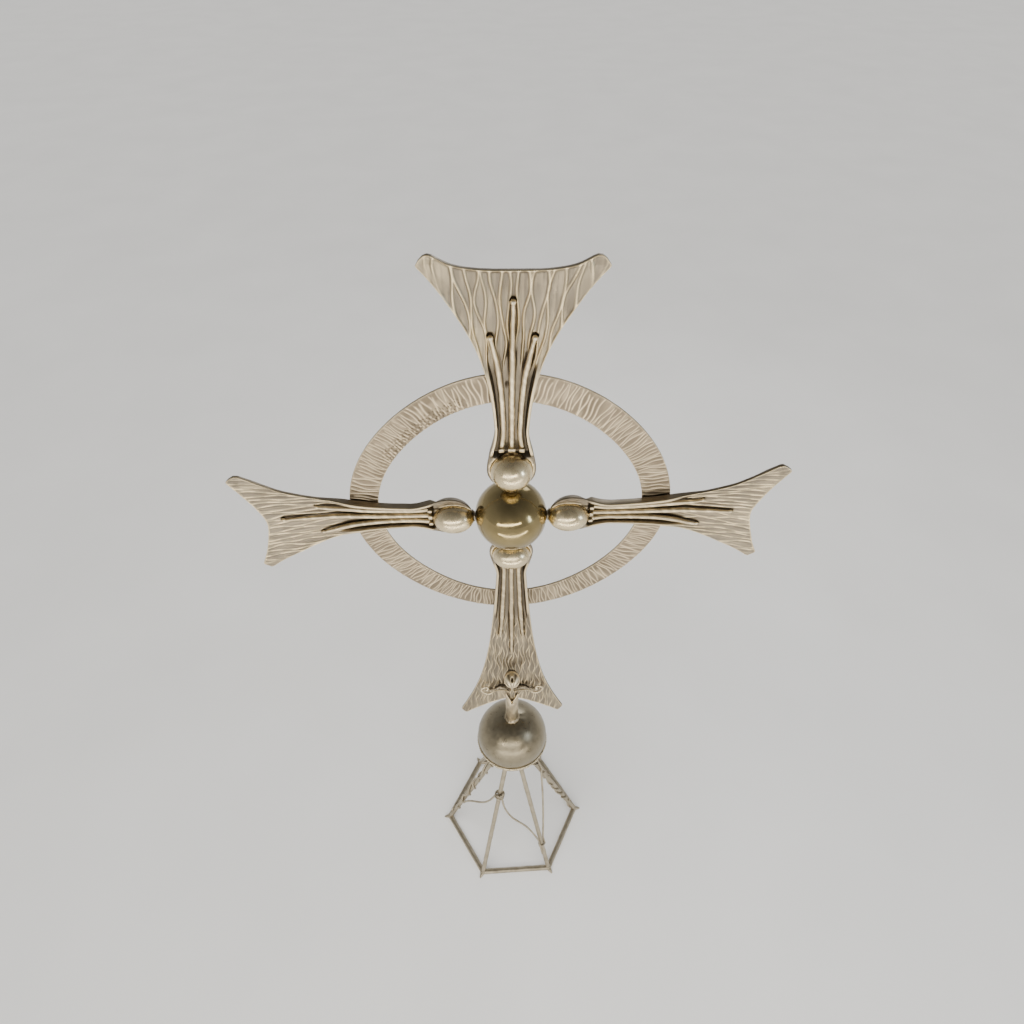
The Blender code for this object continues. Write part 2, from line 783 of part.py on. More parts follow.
def leg_angle(index):
    """Direction of a leg, in radians from +X towards +Y; leg 1 is the left one."""
    return radians(180 + stand_turn + index * 360 / leg_count)


def leg_frame(index):
    """Start, direction, outward normal and sideways direction of a leg's straight part."""
    angle = leg_angle(index)
    out = Vector((cos(angle), sin(angle), 0.0))
    start = Vector((0.0, 0.0, stand_height - leg_apex_drop))
    knee = out * foot_circle_radius + Vector((0.0, 0.0, bar_centre_z()))
    way = (knee - start).normalized()
    side = Vector((-sin(angle), cos(angle), 0.0))
    normal = side.cross(way).normalized()
    if normal.dot(out) < 0:
        normal = -normal
    return start, way, normal, side


def leg_start(index):
    """Distance from the point the legs aim at to the outside of the ball cup."""
    way = leg_frame(index)[1]
    reach = ball_cup_radius() + leg_end_gap
    sideways = leg_apex_drop ** 2 * (1 - way.z ** 2)
    return sqrt(reach ** 2 - sideways) + leg_apex_drop * way.z


def bar_centre_z():
    return bar_radius - foot_flat


def leg_path(index, extra=0.0):
    """Centre line and radii of a leg with its out-turned pointed foot."""
    start, way, normal, side = leg_frame(index)
    angle = leg_angle(index)
    out = Vector((cos(angle), sin(angle), 0.0))
    foot_z = leg_radius - foot_flat
    knee = out * foot_circle_radius + Vector((0.0, 0.0, foot_z))
    first = start + way * leg_start(index)
    points = [first, knee - way * knee_radius * 2.5]
    radii = [leg_radius + extra, leg_radius + extra]
    for t in (0.0, 0.5, 1.0):
        a = knee - way * knee_radius
        b = knee + out * knee_radius
        points.append(a * (1 - t) ** 2 + knee * 2 * t * (1 - t) + b * t ** 2)
        radii.append(leg_radius * (1.0 - 0.12 * t) + extra)
    tip = knee + out * foot_length
    tip.z = foot_point_radius
    points.append(tip)
    radii.append(foot_point_radius + extra)
    return points, radii


def add_stand():
    floor_cutter = box_cutter("cut_floor", (-1.0, -1.0, -0.1), (1.0, 1.0, 0.0))
    leg_cutters = []
    for i in range(leg_count):
        points, radii = leg_path(i)
        leg = as_mesh(tube("leg_%d" % (i + 1), points, radii, STAND_METAL))
        cut(leg, floor_cutter)
        points, radii = leg_path(i, 1.5 * clearance)
        leg_cutters.append(as_cutter(as_mesh(tube("cut_leg_%d" % (i + 1), points, radii, None,
                                                  collection=CUTTERS))))
    for i in range(leg_count):
        following = (i + 1) % leg_count
        ends = []
        for index in (i, following):
            angle = leg_angle(index)
            ends.append(Vector((foot_circle_radius * cos(angle), foot_circle_radius * sin(angle),
                                bar_centre_z())))
        # neighbouring bars meet at 120 degrees without touching
        inset = (ends[1] - ends[0]).normalized() * (bar_radius / tan(radians(60)) + clearance)
        bar = as_mesh(tube("bar_%d" % (i + 1), [ends[0] + inset, ends[1] - inset],
                           [bar_radius, bar_radius], STAND_METAL))
        cut(bar, leg_cutters[i])
        cut(bar, leg_cutters[following])
        cut(bar, floor_cutter)
    return leg_cutters


# Wires

def beside_leg(index, distance, round_degrees, free=0.0):
    """Centre of a wire that lies against a leg, round its axis from the outer side."""
    start, way, normal, side = leg_frame(index)
    reach = leg_radius + wire_radius + 2 * clearance + free
    turn = radians(round_degrees)
    return start + way * distance + (normal * cos(turn) + side * sin(turn)) * reach


def run_down(index, first, last, round_degrees, steps):
    """Points of a wire that runs along a leg."""
    return [beside_leg(index, mix(first, last, i / steps), round_degrees) for i in range(steps + 1)]


def span(start, end, bow, peak, steps):
    """Points between start and end, both left out, pushed aside by bow, most at the share peak."""
    points = []
    for i in range(1, steps):
        t = i / steps
        points.append(start.lerp(end, t) + Vector(bow) * sin(pi * t ** (log(0.5) / log(peak))))
    return points


def add_wire(name, route):
    points = spline_points([tuple(point) for point in route], 2)
    return tube(name, points, [wire_radius] * len(points), STAND_METAL)


def wire_route():
    """From the ball cup down leg 1, across to leg 2 and its clip, and on to leg 3."""
    top = leg_start(0) + wire_end_gap
    route = run_down(0, top, wire_leave_a - 0.05, 0, 1)
    route.append(beside_leg(0, wire_leave_a - 0.020, 35, wire_lift))
    route.append(beside_leg(0, wire_leave_a, 75, wire_lift))
    arrive = [beside_leg(1, wire_at_b, -60, wire_lift), beside_leg(1, wire_at_b - 0.008, -20, wire_lift),
              beside_leg(1, wire_at_b - 0.008, 20, wire_lift), beside_leg(1, wire_at_b, 60, wire_lift)]
    route += span(route[-1], arrive[0], wire_bow_ab, 0.6, 3) + arrive
    land = beside_leg(2, wire_at_c, -60, wire_lift)
    route += span(arrive[-1], land, wire_bow_bc, 0.3, 3) + [land]
    route += run_down(2, wire_at_c + 0.03, wire_end_c, -60, 1)
    return route


def drop_route():
    """From the ball cup down leg 4 and across to leg 3."""
    top = leg_start(3) + wire_end_gap
    route = run_down(3, top, drop_leave_d - 0.05, 0, 1)
    route.append(beside_leg(3, drop_leave_d - 0.020, -35, wire_lift))
    route.append(beside_leg(3, drop_leave_d, -75, wire_lift))
    land = beside_leg(2, drop_at_c, 75, wire_lift)
    route += span(route[-1], land, wire_bow_dc, 0.5, 3) + [land]
    route += run_down(2, drop_at_c + 0.03, drop_at_c + 0.06, 75, 1)
    return route


add_ring()
hubs = {label: add_arm(label, arm) for label, arm in ARMS.items()}
add_balls()
add_ball_cup()
add_stem()
add_bud(hubs["bottom"])
add_scroll("left", 1, hubs["bottom"])
add_scroll("right", -1, hubs["bottom"])
add_stand()
add_wire("wire", wire_route())
add_wire("drop_wire", drop_route())
bpy.context.view_layer.update()
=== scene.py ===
"""Looks of the church ring cross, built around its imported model."""
import math

import bmesh
import bpy
import numpy as np
from mathutils import Matrix, Quaternion, Vector


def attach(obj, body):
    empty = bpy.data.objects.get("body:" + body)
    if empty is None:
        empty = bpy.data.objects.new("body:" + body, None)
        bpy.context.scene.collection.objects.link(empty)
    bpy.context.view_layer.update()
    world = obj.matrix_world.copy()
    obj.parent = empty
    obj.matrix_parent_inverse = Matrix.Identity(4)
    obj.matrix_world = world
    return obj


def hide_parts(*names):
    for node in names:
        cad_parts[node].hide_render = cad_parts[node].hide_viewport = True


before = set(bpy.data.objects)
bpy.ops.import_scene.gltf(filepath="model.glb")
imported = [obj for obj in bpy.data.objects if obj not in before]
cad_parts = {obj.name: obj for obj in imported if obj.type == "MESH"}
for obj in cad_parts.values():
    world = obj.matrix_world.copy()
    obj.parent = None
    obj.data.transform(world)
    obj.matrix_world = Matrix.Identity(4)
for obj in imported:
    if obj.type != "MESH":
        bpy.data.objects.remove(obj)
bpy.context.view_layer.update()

# Sizes of the model, in metres
CLEARANCE = 0.0003
STAND_HEIGHT = 0.8815
RING_Z = STAND_HEIGHT + 1.2905
RING_RADIUS = 0.450
RING_BAND = 0.080
RING_THICKNESS = 0.009
RING_LOBE = 0.006
RING_FRONT_Y = 0.045
RING_DROP = 0.003
BALL_RADIUS = 0.099
BALL_SWELL = 0.0030
BALL_Y = 0.024
PIN_RADIUS = 0.0145
PIN_Y = 0.020
CUP_RADIUS = 0.0655
CUP_WALL = 0.0050
CUP_RIM_Y = 0.017
CUP_RIM_THICKNESS = 0.004
EGG_GAP = 0.0036
BOWL_GAP = 0.0009
CHANNEL_FLOOR_Y = 0.036
RIM_HEIGHT = 0.0215
DISH_DEPTH = 0.0145
CHANNEL_FLOOR_SHARE = 0.76
BACK_ROUNDING = 0.0065
PLATE_THICKNESS = 0.0106
PLATE_LEAST = 0.0022
PIT_DEPTH = 0.0050
TIP_FRONT_Y = -0.0050
SWEEP_POWER = 1.5
SWEEP_S = RING_RADIUS + RING_LOBE
ROD_RADIUS = 0.0074
ROD_TIP_RADIUS = 0.0044
ROD_CHANNEL_SHARE = 0.50
ROD_TIP_SHARE = 0.58
LOWER_BALL_RADIUS = 0.144
BALL_CUP_WALL = 0.0032
BALL_CUP_LATITUDE = -16.0
STEM_RADIUS = 0.0247
STEM_BEAD_RADIUS = 0.0310
STEM_OVERLAP = 0.072
STEM_FLATNESS = 0.52
NOTCH_DEPTH = 0.066
NOTCH_DROP = 0.030
NOTCH_FLARE = 1.5
NOTCH_LIP_RADIUS = 0.0021
RIDGE_HEIGHT = 0.0032
BUD_RADIUS = 0.0290
BUD_S = 0.818
BUD_Y = -0.024
BUD_LEAN = 45
BUD_HEART_DEPTH = 0.008
BUD_NECK_S = 0.936
BUD_HOLLOW_S = 0.842
CRESCENT_S = 0.914
CRESCENT_HALF = 0.0072
SCROLL_DROP = 0.011
FOOT_CIRCLE = 0.3195
STAND_TURN = 1.8
LEG_APEX_DROP = 0.030
LEG_RADIUS = 0.010
FOOT_LENGTH = 0.030
FOOT_FLAT = 0.0015
KNEE_RADIUS = 0.012
BAR_RADIUS = 0.012
BEAD_RADIUS = 0.0138
WIRE_RADIUS = 0.0044
TIE_RADIUS = 0.0036
STRAND_RADIUS = 0.0028
RING_STROKES = 236

# The photograph's camera, with angles in degrees and the focal length in pixels
CAMERA_PLACE = (-0.0297, -1.3068, 3.5129)
CAMERA_DOWN = 46.176
CAMERA_TURN = 1.831
CAMERA_ROLL = 0.1457
CAMERA_FOCUS = 662.72
CAMERA_SHIFT = (-3.5, 13.5)
IMAGE_SIZE = 1024
SENSOR_WIDTH = 36.0

# Strength of the studio's sky at the horizon and high up
SKY_LOW = 0.62
SKY_HIGH = 0.17

# Form of each arm, and the spacing, length and height of its carved lines.
# s is a distance along the arm from the ring's centre.
SIDE_ARM = dict(
    neck_s=0.285, neck_half=0.0375, corner_s=0.714, corner_half=0.181, tip_s=0.744, tip_half=0.163,
    end_power=1.65, corner_round=0.012, straight_share=0.15, rod_outer_s=0.545, egg_width=0.086,
    egg_wide=0.088, egg_deep=0.088, egg_long=0.116, egg_s=0.1625, egg_y=0.0135, cup_s=0.1715,
    channel_s=0.243, rod_s=0.234, block_wide=0.0135, bulb=0.0046, line_in=0.0110, line_out=0.0150,
    lens=0.150, join=0.34, streak=0.060, tone=0.85, crest=0.0020, crest_high=0.0006, hollow=0.0015,
    faint=0.55, flame=0.0, pit=0.0050, plate_rows=104)
ARMS = {
    "top": dict(
        turn=0.55, bend=0.0, neck_s=0.306, neck_half=0.0430, corner_s=0.740, corner_half=0.202,
        tip_s=0.770, tip_half=0.176, end_s=0.729, end_power=4.0, tip_lean=0.0, corner_round=0.030,
        straight_share=0.175, flare_power=2.5, rod_middle_s=0.6615, rod_outer_s=0.570,
        rod_lift=(0.0, 0.0, 0.0), egg_width=0.104, egg_wide=0.111, egg_deep=0.104, egg_long=0.110,
        egg_s=0.1740, egg_y=0.0095, cup_s=0.1715, channel_s=0.243, rod_s=0.246, block_wide=0.0200,
        bulb=0.0066, seed=3.0, line_in=0.0115, line_out=0.0190, lens=0.180, join=0.50, streak=0.225,
        tone=1.0, crest=0.0019, crest_high=0.0015, hollow=0.0024, faint=0.30, flame=0.0, pit=0.0084,
        plate_rows=112),
    "right": dict(
        SIDE_ARM, turn=90, bend=-0.008, end_s=0.682, tip_lean=-0.009, flare_power=2.7,
        rod_middle_s=0.630, rod_lift=(-0.002, -0.003, 0.007), seed=7.0),
    "bottom": dict(
        turn=180, bend=0.0, neck_s=0.262, neck_half=0.0460, corner_s=1.0575, corner_half=0.200,
        tip_s=1.089, tip_half=0.183, end_s=0.9945, end_power=1.7, tip_lean=0.0, corner_round=0.012,
        straight_share=0.36, flare_power=3.5, rod_middle_s=0.712, rod_outer_s=0.610,
        rod_lift=(0.0, 0.0, 0.0), egg_width=0.104, egg_wide=0.112, egg_deep=0.088, egg_long=0.086,
        egg_s=0.1560, egg_y=0.0080, cup_s=0.1545, channel_s=0.226, rod_s=0.228, block_wide=0.0135,
        bulb=0.0044, seed=11.0, line_in=0.0085, line_out=0.0125, lens=0.130, join=0.46, streak=0.090,
        tone=0.80, crest=0.0014, crest_high=0.0008, hollow=0.0012, faint=0.62, flame=0.75, pit=0.0052,
        plate_rows=160),
    "left": dict(
        SIDE_ARM, turn=-90, bend=0.004, end_s=0.684, tip_lean=0.009, flare_power=2.45,
        rod_middle_s=0.642, rod_lift=(-0.007, 0.009, 0.003), seed=5.0),
}


def smooth(low, high, x):
    """Rises from 0 at low to 1 at high with level ends."""
    t = np.clip((x - low) / (high - low), 0.0, 1.0)
    return t * t * (3 - 2 * t)


def between(a, b, c, d, x):
    """Rises from 0 to 1 between a and b, and falls back between c and d."""
    return smooth(a, b, x) * (1 - smooth(c, d, x))


def mix(a, b, t):
    return a + (b - a) * t


def lottery(i, seed):
    """Number from 0 to 1 that belongs to the whole number i."""
    value = np.abs(np.sin(i * 12.9898 + seed * 78.233)) * 43758.5453
    return value - np.floor(value)


def grain(x, y, seed=0.0):
    """Smooth noise from -1 to 1, with a grain of size 1."""
    x0, y0 = np.floor(x), np.floor(y)
    tx, ty = smooth(0.0, 1.0, x - x0), smooth(0.0, 1.0, y - y0)
    corners = [lottery(x0 + a + 57.0 * (y0 + b), seed) for b in (0, 1) for a in (0, 1)]
    low = mix(corners[0], corners[1], tx)
    high = mix(corners[2], corners[3], tx)
    return 2 * mix(low, high, ty) - 1


# Meshes

def add_object(name, data):
    obj = bpy.data.objects.new(name, data)
    bpy.context.scene.collection.objects.link(obj)
    return obj


def make_object(name, mesh, slot, sharp=None):
    """Piece with its slot's metal, and with sharp edges above the angle sharp."""
    obj = add_object(name, mesh)
    mesh.materials.clear()
    mesh.materials.append(METALS[slot])
    mesh.shade_smooth()
    if sharp:
        mesh.set_sharp_from_angle(angle=math.radians(sharp))
    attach(obj, "root")
    return obj


def points_of(mesh):
    return np.array([v.co for v in mesh.vertices])


def move_points(mesh, points):
    mesh.vertices.foreach_set("co", points.astype(np.float32).ravel())


def paint(mesh, crest, dark):
    """Sets how bright a crest is and how dark each point is, the dark being mostly painted shade, at
    each point or at all points alike.
    """
    for name, values in (("crest", crest), ("dark", dark)):
        values = np.asarray(values, np.float32).ravel()
        if values.size == 1:
            values = np.full(len(mesh.vertices), values[0], np.float32)
        mesh.attributes.new(name, "FLOAT", "POINT").data.foreach_set("value", values)


def fan_faces(tip, row, down=False):
    """Triangles from the point tip to a closed row of points."""
    row = row.tolist()
    following = row[1:] + row[:1]
    return [[tip, a, b] if down else [tip, b, a] for a, b in zip(row, following)]


def grid_faces(index, closed=False):
    """Quads over a grid of vertex numbers; closed joins the last column to the first."""
    if closed:
        index = np.concatenate([index, index[:, :1]], axis=1)
    a, b = index[:-1, :-1], index[:-1, 1:]
    c, d = index[1:, 1:], index[1:, :-1]
    return np.stack([a, b, c, d], axis=-1).reshape(-1, 4)


def numbers(rows, columns, first=0):
    """Vertex numbers of a grid of points."""
    return first + np.arange(rows * columns).reshape(rows, columns)


def mesh_of(name, points, faces):
    mesh = bpy.data.meshes.new(name)
    mesh.from_pydata(np.asarray(points).reshape(-1, 3).tolist(), [], faces)
    bm = bmesh.new()
    bm.from_mesh(mesh)
    bmesh.ops.recalc_face_normals(bm, faces=bm.faces)
    bm.to_mesh(mesh)
    bm.free()
    return mesh


def skin_mesh(name, rings):
    """Closed tube through rings of points, with capped ends."""
    index = numbers(*rings.shape[:2])
    faces = grid_faces(index, closed=True).tolist()
    faces += [index[0][::-1].tolist(), index[-1].tolist()]
    return mesh_of(name, rings, faces)


def tube_mesh(name, path, radii, sides=20, lump=0.0, seed=0.0):
    """Round bar along a path, with capped ends and small lumps."""
    path = np.asarray(path, float)
    radii = np.broadcast_to(np.asarray(radii, float), (len(path),)).copy()
    along = np.gradient(path, axis=0)
    along /= np.linalg.norm(along, axis=1)[:, None]
    side = np.cross(along[0], [0.0, 1.0, 0.0])
    if np.linalg.norm(side) < 0.2:
        side = np.cross(along[0], [1.0, 0.0, 0.0])
    frames = []
    for way in along:
        side = side - way * (side @ way)
        side /= np.linalg.norm(side)
        frames.append((side.copy(), np.cross(way, side)))
    length = np.concatenate([[0.0], np.cumsum(np.linalg.norm(np.diff(path, axis=0), axis=1))])
    angles = np.linspace(0, 2 * np.pi, sides, endpoint=False)
    rings = []
    for i, (one, two) in enumerate(frames):
        radius = radii[i] * np.ones(sides)
        if lump:
            radius = radius + lump * grain(length[i] / 0.012 + 40, 3 * np.cos(angles) + 9, seed)
            radius = radius + lump * grain(length[i] / 0.035 + 70, 2 * np.sin(angles) + 5, seed + 1)
        rings.append(path[i] + (np.outer(np.cos(angles) * radius, one)
                                + np.outer(np.sin(angles) * radius, two)))
    return skin_mesh(name, np.array(rings))


def hoop_mesh(name, circle, radii, sides=12):
    """Bar bent into a level hoop round the Z axis."""
    angles = np.linspace(0, 2 * np.pi, sides, endpoint=False)
    out = circle * np.array([1.0, 1.0, 0.0])
    out /= np.linalg.norm(out, axis=1)[:, None]
    rings = circle[:, None, :] + radii[:, None, None] * (
        np.cos(angles)[None, :, None] * out[:, None, :]
        + np.sin(angles)[None, :, None] * np.array([0.0, 0.0, 1.0]))
    index = numbers(len(circle), sides)
    faces = grid_faces(np.concatenate([index, index[:1]]), closed=True).tolist()
    return mesh_of(name, rings, faces)


def lathe_mesh(name, profile, sides=96, change=None):
    """Profile of (radius, z) turned round Z. Both its ends are on the axis, or it closes on itself."""
    profile = np.asarray(profile, float)
    hollow = profile[0][0] > 0
    angles = np.linspace(0, 2 * np.pi, sides, endpoint=False)
    body = profile if hollow else profile[1:-1]
    radius, z = body[:, 0][:, None], body[:, 1][:, None]
    if change is not None:
        radius, z = change(radius, z, angles[None, :])
    x, y = radius * np.cos(angles), radius * np.sin(angles)
    points = np.stack([x, y, np.broadcast_to(z, x.shape)], axis=-1).reshape(-1, 3).tolist()
    index = numbers(len(body), sides)
    faces = grid_faces(index, closed=True).tolist()
    if hollow:
        faces += grid_faces(np.stack([index[-1], index[0]]), closed=True).tolist()
    else:
        for end, row, down in ((profile[0], index[0], False), (profile[-1], index[-1], True)):
            faces += fan_faces(len(points), row, down)
            points.append([0.0, 0.0, end[1]])
    return mesh_of(name, points, faces)


def ball_points(radius, top=90.0, low=-90.0, steps=48):
    latitudes = np.radians(np.linspace(top, low, steps + 1))
    points = np.stack([radius * np.cos(latitudes), radius * np.sin(latitudes)], axis=1)
    if top == 90.0:
        points[0] = (0.0, radius)
    if low == -90.0:
        points[-1] = (0.0, -radius)
    return points


def oval_mesh(name, wide, deep, long, sides=64, steps=40):
    """Egg along Z, wide in X and deep in Y."""
    mesh = lathe_mesh(name, ball_points(0.5, steps=steps), sides)
    mesh.transform(Matrix.Diagonal((wide, deep, long, 1.0)))
    return mesh


def spline(points, steps):
    """Smooth curve through points of any number of values."""
    points = np.asarray(points, float)
    result = []
    last = len(points) - 1
    for i in range(last):
        w, x = points[max(i - 1, 0)], points[i]
        y, z = points[i + 1], points[min(i + 2, last)]
        for t in np.arange(steps) / steps:
            result.append(0.5 * (2 * x + (y - w) * t + (2 * w - 5 * x + 4 * y - z) * t * t
                                 + (3 * x - w - 3 * y + z) * t ** 3))
    result.append(points[-1])
    return np.array(result)


def cut(obj, cutters):
    """Takes the shapes of the cutters out of obj, and deletes them."""
    cutters = [add_object("tool", mesh) for mesh in cutters]
    for cutter in cutters:
        boolean = obj.modifiers.new("cut", "BOOLEAN")
        boolean.operation = "DIFFERENCE"
        boolean.object = cutter
    bpy.context.view_layer.update()
    graph = bpy.context.evaluated_depsgraph_get()
    mesh = bpy.data.meshes.new_from_object(obj.evaluated_get(graph))
    obj.modifiers.clear()
    obj.data = mesh
    for cutter in cutters:
        bpy.data.objects.remove(cutter)


# Materials

SHADOW = (0.040, 0.027, 0.014)


def nodes_of(name):
    material = bpy.data.materials.new(name)
    material.use_nodes = True
    return material, material.node_tree.nodes, material.node_tree.links


def noise_node(nodes, links, source, scale, detail):
    node = nodes.new("ShaderNodeTexNoise")
    node.inputs["Scale"].default_value = scale
    node.inputs["Detail"].default_value = detail
    links.new(source, node.inputs["Vector"])
    return node.outputs["Fac"]


def ramp_node(nodes, links, source, stops):
    node = nodes.new("ShaderNodeValToRGB")
    ramp = node.color_ramp
    while len(ramp.elements) < len(stops):
        ramp.elements.new(0.5)
    for element, (place, colour) in zip(ramp.elements, stops):
        element.position = place
        element.color = (*colour, 1.0)
    links.new(source, node.inputs["Fac"])
    return node.outputs["Color"]


def mix_node(nodes, links, factor, a, b):
    node = nodes.new("ShaderNodeMix")
    node.data_type = "RGBA"
    for socket, value in ((node.inputs[0], factor), (node.inputs[6], a), (node.inputs[7], b)):
        if isinstance(value, tuple):
            socket.default_value = (*value, 1.0)
        elif isinstance(value, float):
            socket.default_value = value
        else:
            links.new(value, socket)
    return node.outputs[2]


def scale_node(nodes, links, source, low, high, start=0.0, end=1.0):
    node = nodes.new("ShaderNodeMapRange")
    node.inputs["From Min"].default_value = start
    node.inputs["From Max"].default_value = end
    node.inputs["To Min"].default_value = low
    node.inputs["To Max"].default_value = high
    links.new(source, node.inputs["Value"])
    return node.outputs["Result"]


def metal(name, light, middle, dark, rough, patches=9.0, bump=0.20, bright=None):
    """Metal with blotches of tone and fine grain, and with bright given, bright crests and dark places
    that are mostly painted shade in hollows and gaps.
    """
    material, nodes, links = nodes_of(name)
    shader = nodes["Principled BSDF"]
    shader.inputs["Metallic"].default_value = 1.0
    place = nodes.new("ShaderNodeTexCoord").outputs["Object"]
    blotch = noise_node(nodes, links, place, patches, 4.0)
    fine = noise_node(nodes, links, place, 160.0, 3.0)
    wide = noise_node(nodes, links, place, patches * 4.5, 5.0)
    tone = ramp_node(nodes, links, blotch, [(0.30, dark), (0.50, middle), (0.72, light)])
    streak = ramp_node(nodes, links, wide, [(0.32, dark), (0.68, light)])
    colour = mix_node(nodes, links, 0.35, tone, streak)
    roughness = scale_node(nodes, links, wide, rough - 0.07, rough + 0.09, 0.3, 0.7)
    if bright:
        for attribute, reached in (("crest", bright), ("dark", SHADOW)):
            node = nodes.new("ShaderNodeAttribute")
            node.attribute_name = attribute
            colour = mix_node(nodes, links, node.outputs["Fac"], colour, reached)
        rougher = nodes.new("ShaderNodeMath")
        rougher.operation = "MULTIPLY_ADD"
        links.new(node.outputs["Fac"], rougher.inputs[0])
        rougher.inputs[1].default_value = 0.25
        links.new(roughness, rougher.inputs[2])
        roughness = rougher.outputs[0]
    links.new(colour, shader.inputs["Base Color"])
    links.new(roughness, shader.inputs["Roughness"])
    relief = nodes.new("ShaderNodeBump")
    relief.inputs["Strength"].default_value = bump
    relief.inputs["Distance"].default_value = 0.0008
    links.new(fine, relief.inputs["Height"])
    links.new(relief.outputs["Normal"], shader.inputs["Normal"])
    return material


# Tones and roughness of each slot's metal
LOOKS = {
    "arm_bronze": dict(light=(0.295, 0.252, 0.190), middle=(0.242, 0.206, 0.155),
                       dark=(0.19, 0.158, 0.117), rough=0.38, bright=(0.99, 0.82, 0.52)),
    "ring_bronze": dict(light=(0.41, 0.335, 0.24), middle=(0.34, 0.275, 0.195),
                        dark=(0.26, 0.21, 0.145), rough=0.42, bright=(0.94, 0.78, 0.53)),
    "rod_bronze": dict(light=(0.70, 0.58, 0.38), middle=(0.60, 0.49, 0.32),
                       dark=(0.43, 0.345, 0.22), rough=0.34, bright=(0.96, 0.82, 0.56)),
    "egg_bronze": dict(light=(0.88, 0.745, 0.48), middle=(0.81, 0.675, 0.425),
                       dark=(0.72, 0.595, 0.37), rough=0.26, patches=14.0, bump=0.04),
    "ball_bronze": dict(light=(0.36, 0.285, 0.142), middle=(0.30, 0.235, 0.112),
                        dark=(0.24, 0.186, 0.086), rough=0.14, patches=7.0, bump=0.02),
    "dark_bronze": dict(light=(0.35, 0.305, 0.215), middle=(0.28, 0.24, 0.165),
                        dark=(0.20, 0.17, 0.115), rough=0.33, patches=11.0, bump=0.03),
    "stem_bronze": dict(light=(0.58, 0.49, 0.34), middle=(0.48, 0.40, 0.275),
                        dark=(0.34, 0.28, 0.185), rough=0.36, bright=(0.96, 0.82, 0.56)),
    "stand_metal": dict(light=(0.58, 0.515, 0.395), middle=(0.48, 0.42, 0.315),
                        dark=(0.34, 0.292, 0.21), rough=0.50, patches=26.0, bump=0.35),
}
METALS = {slot: metal(slot, **look) for slot, look in LOOKS.items()}


# The arm's form, with s along the arm, u across it and depth along Y

def half_width(arm, s):
    """Half of the arm's width at the distance s from the ring's centre."""
    s = np.asarray(s, float)
    cup_s = arm["cup_s"]
    cup = np.sqrt(np.maximum(CUP_RADIUS ** 2 - (cup_s - s) ** 2, PIN_RADIUS ** 2))
    t = np.clip((s - cup_s) / (arm["neck_s"] - cup_s), 0.0, 1.0)
    neck = mix(arm["neck_half"], CUP_RADIUS, 0.5 + 0.5 * np.cos(np.pi * t))
    f = np.clip((s - arm["neck_s"]) / (arm["corner_s"] - arm["neck_s"]), 0.0, 1.0)
    plate = mix(arm["neck_half"], arm["corner_half"],
                mix(f ** arm["flare_power"], f, arm["straight_share"]))
    return np.where(s <= cup_s, cup, np.where(s <= arm["neck_s"], neck, plate))


def sweep(arm, s):
    """0 up to the ring's outer edge, 1 at the corner of the flared end."""
    return np.clip((s - SWEEP_S) / (arm["corner_s"] - SWEEP_S), 0.0, 1.0)


def end_table(arm):
    """Where the arm ends along s, as a table over u, with its corners rounded."""
    reach = arm["corner_half"] + 0.03
    u = np.linspace(-reach, reach, 1201)
    far = np.minimum(np.abs(u), arm["tip_half"]) / arm["tip_half"]
    s = mix(arm["end_s"], arm["tip_s"], far ** arm["end_power"])
    past = (np.abs(u) - arm["tip_half"]) / (arm["corner_half"] - arm["tip_half"])
    s = np.where(past > 0, mix(arm["tip_s"], arm["corner_s"], np.clip(past, 0.0, 1.0)), s)
    s = s - np.maximum(np.abs(u) - arm["corner_half"], 0.0) * 2.5
    s = s + np.sign(u) * arm["tip_lean"] * (u / arm["corner_half"]) ** 2
    step = u[1] - u[0]
    width = int(arm["corner_round"] / step)
    kernel = np.exp(-np.linspace(-2, 2, 2 * width + 1) ** 2)
    padded = np.pad(s, width, mode="edge")
    return u, np.convolve(padded, kernel / kernel.sum(), mode="valid")


def floor_y(arm, s):
    return mix(CHANNEL_FLOOR_Y, TIP_FRONT_Y, sweep(arm, s) ** SWEEP_POWER)


def dish(arm, s):
    return DISH_DEPTH * (1 - smooth(0.55, 1.0, sweep(arm, s)))


def plate_share(s):
    return smooth(SWEEP_S - 0.02, SWEEP_S + 0.06, s)


def rod_share(arm, s):
    return mix(ROD_CHANNEL_SHARE, ROD_TIP_SHARE, sweep(arm, s))


def base_y(arm, s, share):
    """Front of the arm without its carving."""
    share = np.abs(share)
    channel = smooth(arm["channel_s"] - 0.028, arm["channel_s"] - 0.016, s)
    rim = smooth(CHANNEL_FLOOR_SHARE, CHANNEL_FLOOR_SHARE + 0.10, share)
    in_channel = CHANNEL_FLOOR_Y - RIM_HEIGHT * rim
    in_plate = floor_y(arm, s) - dish(arm, s) * share ** 2
    return mix(mix(CUP_RIM_Y, in_channel, channel), in_plate, plate_share(s))


def back_y(arm, s, share):
    channel = smooth(arm["channel_s"] - 0.040, arm["channel_s"] - 0.012, s)
    depth = arm["egg_width"] / 2 + EGG_GAP + CUP_WALL
    away = np.hypot(share * half_width(arm, s), s - arm["cup_s"]) / CUP_RADIUS
    in_cup = arm["egg_y"] + depth * np.sqrt(np.maximum(1 - away ** 2, 0.0))
    in_cup = np.maximum(in_cup, CUP_RIM_Y + CUP_RIM_THICKNESS)
    curl = smooth(0.02, 0.35, sweep(arm, s))
    thickness = mix(RING_FRONT_Y - CLEARANCE - CHANNEL_FLOOR_Y, PLATE_THICKNESS, curl)
    swept = floor_y(arm, s) + thickness - dish(arm, s) * share ** 2 * curl
    swept = swept - BACK_ROUNDING * share ** 4 * (1 - curl)
    return mix(in_cup, swept, channel)


